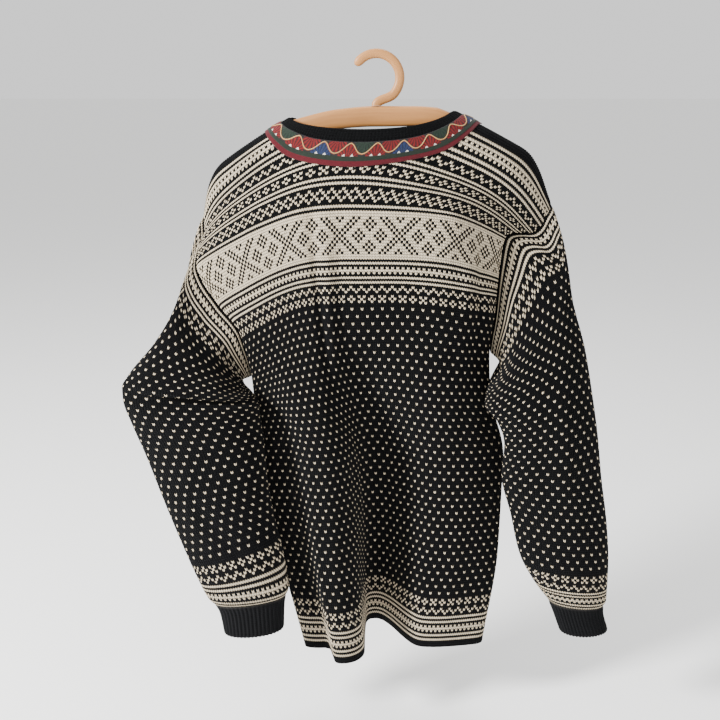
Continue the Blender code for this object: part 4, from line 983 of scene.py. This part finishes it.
def rib_tree():
    """Node tree that raises upright ribs on a tube, from its points' place round it."""
    tree, entry = new_tree("ribs", Ribs="Float", Height="Float")
    calc = partial(add_math, tree)
    turned, outside = (
        add_node(tree, "GeometryNodeInputNamedAttribute", {"Name": name}, data_type="FLOAT")
        for name in ("round", "outside")
    )
    angle = calc("MULTIPLY", turned["Attribute"], entry["Ribs"])
    wave = calc("COSINE", calc("MULTIPLY", angle, 2.0 * math.pi))
    wave = calc("POWER", calc("ADD", calc("MULTIPLY", wave, 0.5), 0.5), 0.75)
    rise = calc("MULTIPLY", calc("MULTIPLY", wave, entry["Height"]), outside["Attribute"])
    feeds = {0: add_node(tree, "GeometryNodeInputNormal", {})[0], "Scale": rise}
    push = add_node(tree, "ShaderNodeVectorMath", feeds, operation="SCALE")[0]
    feeds = {"Geometry": entry["Geometry"], "Offset": push}
    return close_tree(tree, entry, add_node(tree, "GeometryNodeSetPosition", feeds)[0])


def grown(item, tree, **inputs):
    """Run a node tree on an object and keep what it makes as the object's plain mesh."""
    modifier = item.modifiers.new(tree.name, "NODES")
    modifier.node_group = tree
    for socket in tree.interface.items_tree:
        if socket.in_out == "INPUT" and socket.name in inputs:
            modifier[socket.identifier] = inputs[socket.name]
    bpy.context.view_layer.update()
    graph = bpy.context.evaluated_depsgraph_get()
    mesh = bpy.data.meshes.new_from_object(
        item.evaluated_get(graph), preserve_all_data_layers=True, depsgraph=graph
    )
    mesh.name = item.name
    item.modifiers.remove(modifier)
    item.data = mesh


def band_object(name, points, outside, stitches, rows_of):
    """A closed band: rows of the grid go once round its section, columns round the body."""
    lines, sides = points.shape[:2]
    i, j = (grid.ravel() for grid in np.indices((lines, sides)))
    row_at = np.append(rows_of, rows_of[-1])
    faces = []
    places = []
    for step_i, step_j in ((0, 0), (0, 1), (1, 1), (1, 0)):
        faces.append((i + step_i) % lines * sides + (j + step_j) % sides)
        places.append(np.stack([(j + step_j) / sides * stitches, row_at[i + step_i]], -1))
    places = np.stack(places, 1)
    twist = wool_twist(*np.floor(places.min(axis=1)).T)
    inside = np.repeat(outside <= 0.0, sides)
    yarn = np.stack([np.zeros(len(i)), twist, inside], -1)
    item = knitted_object(name, points.reshape(-1, 3), np.stack(faces, -1), places, yarn)
    for label, value in (("round", j / sides), ("outside", np.repeat(outside, sides))):
        layer = item.data.attributes.new(label, "FLOAT", "POINT")
        layer.data.foreach_set("value", value.astype(np.float32))
    return item


def cuff_section():
    """Once round a cuff's wall: distance along in centimetres, depth in it, rib share."""
    down = np.linspace(0.02, CUFF_LONG - 0.12, 16)
    section = [(x, 0.0, float(smooth((x - 0.02) / 0.7))) for x in down]
    section += [(CUFF_LONG - 0.03, 0.22, 0.8), (CUFF_LONG, 0.5, 0.3)]
    section += [(CUFF_LONG - 0.03, 0.78, 0.0)]
    return np.array(section + [(x, 1.0, 0.0) for x in down[::-3]])


ribs = rib_tree()
cuff_wool = wool_material("cuff_wool", (0.0085, 0.0085, 0.0095, 1.0))
for table, name, node, above in (
    (LEFT_CUFF, "cuff_left_knit", "cuff_left", "sleeve_left_knit"),
    (RIGHT_CUFF, "cuff_right_knit", "cuff_right", "sleeve_right_knit"),
):
    section = cuff_section()
    sides = CUFF_RIBS * 10
    around, down = np.meshgrid(np.arange(sides) / sides, section[:, 0])
    points = tube(table, around, down)
    turn = tube(table, (around + 0.01) % 1.0, down) - tube(table, (around - 0.01) % 1.0, down)
    fall = tube(table, around, down + 0.2) - tube(table, around, down - 0.2)
    fall = np.where(np.abs(fall).sum(axis=-1, keepdims=True) > 0.0, fall, (0.0, 0.0, -1.0))
    facing = unit(np.cross(turn, fall))
    away = points - points.mean(axis=1, keepdims=True)
    facing = facing * np.sign(np.sum(facing * away))
    points = points - facing * section[:, 1][:, None, None] * CLOTH
    cuff = band_object(name, points, section[:, 2], CUFF_RIBS * 2, section[:, 0] / CUFF_ROW)
    grown(cuff, ribs, Ribs=float(CUFF_RIBS), Height=CUFF_RIB_HEIGHT, Material=cuff_wool)
    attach(cuff, "root")
    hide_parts(node)

# ================================================================ ribbed neck edge
# A narrow band in fine black ribbing, picked up round the cut neck and cast off loosely.
# Its foot is covered by the ribbon.
NECK_RIBS = 150
NECK_RIB_HEIGHT = 0.0006
TRIM_MAP_ROWS = 16.0        # rows of the knitting's own map over the trim's whole width
# columns: share of the trim's width, height over the panels in millimetres, rib share
NECK_EDGE = [(0.64, 0.0, 0.0)]
NECK_EDGE += [(0.64 + 0.034 * k, 0.15 + 0.03 * k, 1.0) for k in range(10)]
NECK_EDGE += [(0.975, 0.2, 0.9), (0.99, -0.4, 0.6), (0.996, -1.1, 0.2), (0.985, -1.9, 0.0)]
NECK_EDGE += [(0.95, -2.4, 0.0), (0.85, -2.5, 0.0), (0.74, -2.5, 0.0), (0.64, -2.4, 0.0)]


def neck_ring(angle, share):
    """Points round the neck; share 0 is the felt's outer edge and 1 the rib's top."""
    angle, share = np.broadcast_arrays(np.asarray(angle, float), np.asarray(share, float))
    stitch = (NECK_STITCH - share * TRIM_STITCHES) * np.sin(angle)
    back_row = (NECK_ROW_BACK - share * TRIM_ROWS) * np.cos(angle)
    front_row = -(NECK_ROW_FRONT - share * TRIM_ROWS) * np.cos(angle)
    over_back = (np.cos(angle) >= 0.0)[..., None]
    return np.where(over_back, back_at(stitch, back_row), front_at(stitch, front_row))


def neck_normal(angle, share):
    """Outward direction of the ring."""
    round_it = neck_ring(angle + 0.04, share) - neck_ring(angle - 0.04, share)
    inwards = neck_ring(angle, share + 0.06) - neck_ring(angle, share - 0.06)
    return unit(np.cross(round_it, inwards))


def neck_band(name, section, sides, stitches, rows_of, outside):
    """A closed band round the neck; section lists shares and heights over the panels."""
    angle = np.arange(sides) / sides * 2.0 * math.pi
    angle, share = np.meshgrid(angle, section[:, 0])
    rise = section[:, 1][:, None, None] / 1000.0
    points = neck_ring(angle, share) + neck_normal(angle, share) * rise
    return band_object(name, points, outside, stitches, rows_of)


section = np.array(NECK_EDGE)
neck_wool = wool_material("neck_wool", (0.0028, 0.0029, 0.0033, 1.0))
neck_edge = neck_band(
    "neck_edge", section, NECK_RIBS * 8, NECK_RIBS * 2, section[:, 0] * TRIM_MAP_ROWS,
    section[:, 2],
)
grown(neck_edge, ribs, Ribs=float(NECK_RIBS), Height=NECK_RIB_HEIGHT, Material=neck_wool)
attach(neck_edge, "root")
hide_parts("neck_rib")

# ================================================================ two felt stripes
# Strips of pressed felt are sewn on under the ribbon, the red one first and the green
# one over its edge, so that a narrow line of each shows.
#
# columns: name, node, slot, shares from edge to edge, heights in millimetres, colour
FELTS = [
    ("red_strip", "felt_red", "red_felt", 0.19, 0.004, 0.15, 1.5, (0.060, 0.0025, 0.006)),
    ("green_strip", "felt_green", "green_felt", 0.32, 0.158, 0.4, 2.0, (0.008, 0.013, 0.008)),
]
FELT_SOFT = 0.022           # share of the trim's width over which a strip's edge is rounded
FELT_SIDES = 720


def felt_material(name, colour):
    """Pressed wool: short hairs every way, with small patches of lighter wool."""
    material, tree = new_material(
        name, Roughness=0.95, Specular_IOR_Level=0.15, Sheen_Weight=0.08, Sheen_Roughness=0.6
    )
    hair = add_noise(tree, 1800.0, 4.0, distortion=1.5)
    tone = add_math(tree, "MULTIPLY_ADD", add_noise(tree, 260.0, 3.0), 0.6, 0.45)
    tone = add_math(tree, "MULTIPLY_ADD", hair, 0.5, tone)
    finish_surface(tree, colour, tone, hair, 0.7, 0.0004)
    return material


def strip_section(upper, lower, bottom, top):
    """Once round a strip with soft edges, from one share of the trim to another."""
    half_way = (bottom + top) / 2.0
    ring = [(upper, half_way), (upper - FELT_SOFT * 0.4, top - 0.25)]
    ring += [(share, top) for share in np.linspace(upper - FELT_SOFT, lower + FELT_SOFT, 7)]
    ring += [(lower + FELT_SOFT * 0.4, top - 0.25), (lower, half_way)]
    ring += [(lower + FELT_SOFT * 0.5, bottom), (upper - FELT_SOFT * 0.5, bottom)]
    return np.array(ring)


for name, node, slot, upper, lower, bottom, top, colour in FELTS:
    section = strip_section(upper, lower, bottom, top)
    rows_of = section[:, 0] * TRIM_MAP_ROWS
    strip = neck_band(name, section, FELT_SIDES, NECK_RIBS * 2, rows_of, np.ones(len(section)))
    strip.data.materials.append(felt_material(node, colour))
    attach(strip, "root")
    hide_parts(node)

# ================================================================ woven ribbon
# A ribbon woven in six colours with a gold wave, and fans of ribbed weave over and under
# it.  It is sewn on round the neck, over the foot of the ribbing and the felt's edge.
RIBBON_LOW = 0.284          # shares of the trim's width
RIBBON_HIGH = 0.692
RIBBON_WIDE = 18.2          # millimetres, at the middle of the back
WAVES = 20
WAVE_LONG = 33.0            # millimetres
WAVE_START = 0.74           # waves from the middle of the back to the next crest
WAVE_SWING = 0.34           # share of the width from the wave's middle to its crest
FAN_RIBS = 3.4              # ribs of weave in each radian of a fan
RIBBON_SIDES = 1150
RIBBON_LINES = 30
GOLD_RADIUS = 0.00055
GOLD_HEIGHT = 0.0024        # of the gold thread's middle over the panels
BLACK, GOLD, AMBER, RED, WINE, GREEN, FOREST, BLUE, NAVY, WHITE = range(10)
THREADS = np.array([
    (0.008, 0.007, 0.008), (0.26, 0.125, 0.03), (0.20, 0.05, 0.015), (0.14, 0.0025, 0.0025),
    (0.030, 0.002, 0.003), (0.005, 0.017, 0.008), (0.003, 0.008, 0.005),
    (0.008, 0.020, 0.070), (0.003, 0.007, 0.025), (0.62, 0.58, 0.52),
])
LOWER_FANS = [(RED, WINE), (BLUE, NAVY), (RED, WINE)]
UPPER_FANS = [(RED, WINE), (RED, WINE), (GREEN, FOREST)]


def wave_height(turns):
    """Height of the gold wave over the ribbon's lower edge, as a share of its width."""
    angle = 2.0 * math.pi * turns
    return 0.52 + WAVE_SWING * np.cos(angle) + 0.03 * np.cos(2.0 * angle)


def fans(colour, shown, number, angle, dark_part, pairs):
    """Lay fans of ribbed weave in turn over a field of colours, where they are shown."""
    rib = np.modf(angle * FAN_RIBS + 100.5)[0]
    for k, (plain, dark) in enumerate(pairs):
        here = shown & (number % 3 == k)
        colour = np.where(here, np.where(rib < dark_part, dark, plain), colour)
    return colour


def ribbon_threads(turns, height):
    """Which colour shows at each place: waves along from a crest, and share of the width."""
    crest = np.round(turns).astype(int)
    trough = np.floor(turns).astype(int)
    along = (turns - crest) * WAVE_LONG
    over = (turns - trough - 0.5) * WAVE_LONG
    up = height * RIBBON_WIDE
    slope = WAVE_SWING * 2.0 * math.pi * np.sin(2.0 * math.pi * turns) * RIBBON_WIDE / WAVE_LONG
    off = (height - wave_height(turns)) * RIBBON_WIDE / np.sqrt(1.0 + slope**2)
    # fans under each crest spread from its foot, those over each trough from the top
    spread = np.arctan2(along, up + 3.5)
    under = (off < -1.1) & (np.abs(along) < 12.0)
    colour = fans(BLACK, under, crest, spread, 0.40, LOWER_FANS)
    spread = np.arctan2(over, RIBBON_WIDE + 5.0 - up)
    above = (off > 1.0) & (np.abs(over) < 11.0)
    colour = fans(colour, above, trough, spread, 0.42, UPPER_FANS)
    # two small white points at the foot of each lower fan
    for side in (-1, 1):
        point = np.abs(along - side * 5.0) < (3.6 - up) * 0.7
        colour = np.where(point & (off < -1.1), WHITE, colour)
    colour = np.where((off > -1.1) & (off < -0.55), AMBER, colour)
    colour = np.where(np.abs(off) <= 0.55, GOLD, colour)
    return np.where((up < 0.7) | (up > RIBBON_WIDE - 0.6), BLACK, colour)


def ribbon_material(name):
    """Fine ribbed weave: the threads' colours, lit along each rib of the weave."""
    material, tree = new_material(
        name, Roughness=0.62, Specular_IOR_Level=0.2, Sheen_Weight=0.05
    )
    calc = partial(add_math, tree)
    threads = add_node(tree, "ShaderNodeVertexColor", {}, layer_name="threads")["Color"]
    across, down = add_place(tree)
    weft = calc("SINE", calc("MULTIPLY", across, 2.0 * math.pi))
    warp = calc("SINE", calc("MULTIPLY", down, 4.0 * math.pi))
    weave = calc("MULTIPLY_ADD", calc("MULTIPLY", weft, warp), 0.5, 0.5)
    tone = calc("MULTIPLY_ADD", weave, 0.35, 0.62)
    tone = calc("MULTIPLY_ADD", add_noise(tree, 900.0, 3.0), 0.25, tone)
    finish_surface(tree, threads, tone, weave, 0.6, 0.0003)
    return material


def gold_material(name):
    """Twisted gold thread, paler and darker along its length."""
    material, tree = new_material(name, Roughness=0.45, Sheen_Weight=0.2)
    noise = add_noise(tree, 1400.0, 2.0)
    colour = add_mix(tree, noise, (0.22, 0.105, 0.025, 1.0), (0.50, 0.30, 0.10, 1.0))
    finish_surface(tree, colour, None, noise, 1.0, 0.0002)
    return material


def cord_tree():
    """Node tree that makes a line into a round thread."""
    tree, entry = new_tree("thread", Radius="Float")
    line = add_node(tree, "GeometryNodeMeshToCurve", {"Mesh": entry["Geometry"]})["Curve"]
    feeds = {"Resolution": 8, "Radius": entry["Radius"]}
    ring = add_node(tree, "GeometryNodeCurvePrimitiveCircle", feeds)["Curve"]
    feeds = {"Curve": line, "Profile Curve": ring}
    swept = add_node(tree, "GeometryNodeCurveToMesh", feeds)[0]
    return close_tree(tree, entry, add_node(tree, "GeometryNodeSetShadeSmooth", {0: swept})[0])


lines = np.linspace(RIBBON_LOW, RIBBON_HIGH, RIBBON_LINES)
bulge = 2.3 - 0.5 * np.abs(2.0 * (lines - lines[0]) / (lines[-1] - lines[0]) - 1.0) ** 6
section = np.array(list(zip(lines, bulge)) + [(RIBBON_HIGH, 1.2), (RIBBON_LOW, 1.0)])
ribbon = neck_band(
    "ribbon", section, RIBBON_SIDES, RIBBON_SIDES, np.arange(len(section)), np.ones(len(section))
)
# Waves are counted along the ribbon itself, both ways from the middle of the back, so
# its ends meet at the front.
angle = np.arange(RIBBON_SIDES + 1) / RIBBON_SIDES * 2.0 * math.pi
line = neck_ring(angle, (RIBBON_LOW + RIBBON_HIGH) / 2.0)
travel = np.concatenate([[0.0], np.cumsum(np.linalg.norm(np.diff(line, axis=0), axis=1))])
middle_turn = (travel[1:] + travel[:-1]) / 2.0 / travel[-1]
middle_turn = (middle_turn - np.round(middle_turn)) * WAVES - WAVE_START
middle_height = (np.arange(RIBBON_LINES - 1) + 0.5) / (RIBBON_LINES - 1)
shown = np.zeros((len(section), RIBBON_SIDES), int)
shown[: RIBBON_LINES - 1] = ribbon_threads(middle_turn[None, :], middle_height[:, None])
colour = np.ones((len(section), RIBBON_SIDES, 4, 4), np.float32)
colour[..., :3] = THREADS[shown][:, :, None, :]
layer = ribbon.data.color_attributes.new(name="threads", type="FLOAT_COLOR", domain="CORNER")
layer.data.foreach_set("color", colour.ravel())
ribbon.data.materials.append(ribbon_material("woven_ribbon"))
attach(ribbon, "root")
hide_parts("neck_ribbon")

# The gold thread lies over the wave, a little proud of the weave.
fine = np.linspace(0.0, travel[-1], WAVES * 40 + 1)[:-1]
fine_angle = np.interp(fine, travel, angle)
fine_turns = fine / travel[-1] * WAVES - WAVE_START
fine_share = RIBBON_LOW + (RIBBON_HIGH - RIBBON_LOW) * wave_height(fine_turns)
wave = neck_ring(fine_angle, fine_share) + neck_normal(fine_angle, fine_share) * GOLD_HEIGHT
gold = put_in_scene("gold_thread", bpy.data.meshes.new("gold_thread"))
edges = [(k, (k + 1) % len(wave)) for k in range(len(wave))]
gold.data.from_pydata(wave.tolist(), edges, [])
grown(gold, cord_tree(), Radius=GOLD_RADIUS, Material=gold_material("gold_thread"))
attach(gold, "root")
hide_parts("neck_ribbon")

# ================================================================ hanger
# A plain beech hanger: a shaped bar inside the shoulders and a bent wooden hook.  Both
# are planed smooth and lightly oiled.
#
# columns: x, highest top, height, half thickness; centimetres
HANGER_BAR = [
    (-19.6, -9.0, 0.8, 0.28), (-19.2, -9.0, 1.7, 0.42), (-17.5, -9.0, 2.1, 0.50),
    (-13.0, -8.3, 2.3, 0.56), (-9.9, -7.4, 2.4, 0.58), (-5.0, -6.3, 2.5, 0.60),
    (0.0, -5.9, 2.6, 0.62), (5.0, -5.9, 2.5, 0.60), (8.1, -6.1, 2.4, 0.58),
    (13.0, -7.6, 2.3, 0.56), (17.5, -9.0, 2.1, 0.50), (19.2, -9.0, 1.7, 0.42),
    (19.6, -9.0, 0.8, 0.28),
]
HANGER_HALF = 0.196         # half length of the bar
HANGER_CLEAR = 0.0018       # room between the bar and the cloth over it
HOOK_RADIUS = 0.030         # middle line of the hook
HOOK_WIDE = 0.012           # the hook's bar, across its bend
HOOK_DEEP = 0.009           # and along the rail
HOOK_STARTS = 150.0         # degrees round from +X at its free end
HOOK_LEAVES = -42.0         # where the round stretch ends
HOOK_FOOT = -0.0587         # height of its lower end, on the bar
GRAIN_ROUND = 0.05          # metres of grain laid once round a bar
CAP = 0.004                 # metres of grain laid over a bar's end


def bar_object(name, rings):
    """A solid bar through rings of points, with its grain running along it."""
    rings = np.array(rings)
    long, sides = rings.shape[:2]
    ends = [rings[0].mean(axis=0), rings[-1].mean(axis=0)]
    points = np.concatenate([rings.reshape(-1, 3), ends])
    step = np.linalg.norm(np.diff(rings.mean(axis=1), axis=0), axis=1)
    travel = np.concatenate([[0.0], np.cumsum(step)])
    walls = []
    caps = []
    places = []
    for i in range(long - 1):
        here, ahead = travel[i : i + 2]
        for j in range(sides):
            a = i * sides + j
            b = i * sides + (j + 1) % sides
            walls.append((a, b, b + sides, a + sides))
            places += [(here, j), (here, j + 1), (ahead, j + 1), (ahead, j)]
    last = (long - 1) * sides
    for j in range(sides):
        beside = (j + 1) % sides
        caps += [(len(points) - 2, beside, j), (len(points) - 1, last + j, last + beside)]
        places += [(0.0, 0.0), (CAP, j + 1), (CAP, j)]
        places += [(travel[-1], 0.0), (travel[-1] - CAP, j), (travel[-1] - CAP, j + 1)]
    mesh = bpy.data.meshes.new(name)
    mesh.from_pydata(points.tolist(), [], walls + caps)
    mesh.update()
    uv = mesh.uv_layers.new(name="grain")
    grain = np.array([(x, y / sides * GRAIN_ROUND) for x, y in places], np.float32)
    uv.data.foreach_set("uv", grain.ravel())
    mesh.polygons.foreach_set("use_smooth", np.ones(len(walls + caps), bool))
    if volume(points, np.array(walls)) + volume(points, np.array(caps)) < 0.0:
        mesh.flip_normals()
    mesh.set_sharp_from_angle(angle=math.radians(50))
    return put_in_scene(name, mesh)


def section_offsets(half_wide, half_deep, sides, turned, square):
    """Two offsets of each corner round a section, between a box and an oval."""
    angle = 2.0 * math.pi * (np.arange(sides) + turned) / sides
    for half, wave in ((half_wide, np.cos(angle)), (half_deep, np.sin(angle))):
        yield half * np.copysign(np.abs(wave) ** square, wave)


def wood_material(name):
    """Oiled beech: long pale grain, short darker flecks and a soft shine."""
    material, tree = new_material(name)
    place = add_node(tree, "ShaderNodeUVMap", {}, uv_map="grain")[0]
    tones = []
    for stretch in ((14.0, 420.0, 1.0), (180.0, 2600.0, 1.0)):
        feeds = {0: place, 1: stretch}
        where = add_node(tree, "ShaderNodeVectorMath", feeds, operation="MULTIPLY")[0]
        tones.append(add_noise(tree, 1.0, 4.0, where))
    flecks = add_math(tree, "MULTIPLY", tones[1], 0.25)
    share = add_math(tree, "MULTIPLY_ADD", tones[0], 0.8, flecks)
    rough = add_math(tree, "ADD", flecks, 0.36)
    tree.links.new(rough, tree.nodes["Principled BSDF"].inputs["Roughness"])
    colour = add_mix(tree, share, (0.27, 0.100, 0.022, 1.0), (0.48, 0.225, 0.068, 1.0))
    finish_surface(tree, colour, None, share, 0.3, 0.0003)
    return material


wood = wood_material("wood")
shoulder = back_at(GRID_STITCH, 0.0)
rings = []
for x in np.linspace(-HANGER_HALF, HANGER_HALF, 81):
    top_z, tall, half = [curve(HANGER_BAR, column, x * 100.0) / 100.0 for column in (1, 2, 3)]
    middle_y = np.interp(x, shoulder[:, 0], shoulder[:, 1]) * smooth(abs(x) / 0.10)
    under = np.interp(x, shoulder[:, 0], shoulder[:, 2]) - CLOTH - HANGER_CLEAR
    y, z = section_offsets(half, tall / 2.0, 24, 0.0, 0.7)
    middle_z = min(top_z, under) - tall / 2.0
    rings.append(np.stack([x + y * 0.0, middle_y + y, middle_z + z], -1))
bar = bar_object("bar_wood", rings)
bar.data.materials.append(wood)
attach(bar, "root")
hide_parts("hanger_bar")

# The hook bends over from -X, comes down on +X and turns back to stand on the bar.
centre_z = -(HOOK_RADIUS - HOOK_WIDE / 2.0)
turn = np.radians(np.linspace(HOOK_STARTS, HOOK_LEAVES, 58))
path = np.stack([HOOK_RADIUS * np.cos(turn), centre_z + HOOK_RADIUS * np.sin(turn)], -1)
start = path[-1]
end = np.array((0.0, HOOK_FOOT))
pull_out = start + np.array((math.sin(turn[-1]), -math.cos(turn[-1]))) * 0.009
pull_in = end + (0.0, 0.0085)
share = np.linspace(0.0, 1.0, 22)[1:, None]
rest = 1.0 - share
foot = rest**3 * start + 3.0 * rest**2 * share * pull_out
path = np.concatenate([path, foot + 3.0 * rest * share**2 * pull_in + share**3 * end])
way = unit(np.gradient(path, axis=0))
way[-1] = (0.0, -1.0)
rings = []
for k, (x, z) in enumerate(path):
    # The free end is rounded off.
    slim = math.sqrt(1.0 - (1.0 - min(1.0, 0.06 + k / 5.0)) ** 2)
    s, d = section_offsets(HOOK_WIDE / 2.0 * slim, HOOK_DEEP / 2.0 * slim, 20, 0.5, 0.8)
    rings.append(np.stack([x - way[k][1] * s, d, z + way[k][0] * s], -1))
hook = bar_object("hook_wood", rings)
hook.data.materials.append(wood)
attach(hook, "root")
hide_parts("hanger_hook")
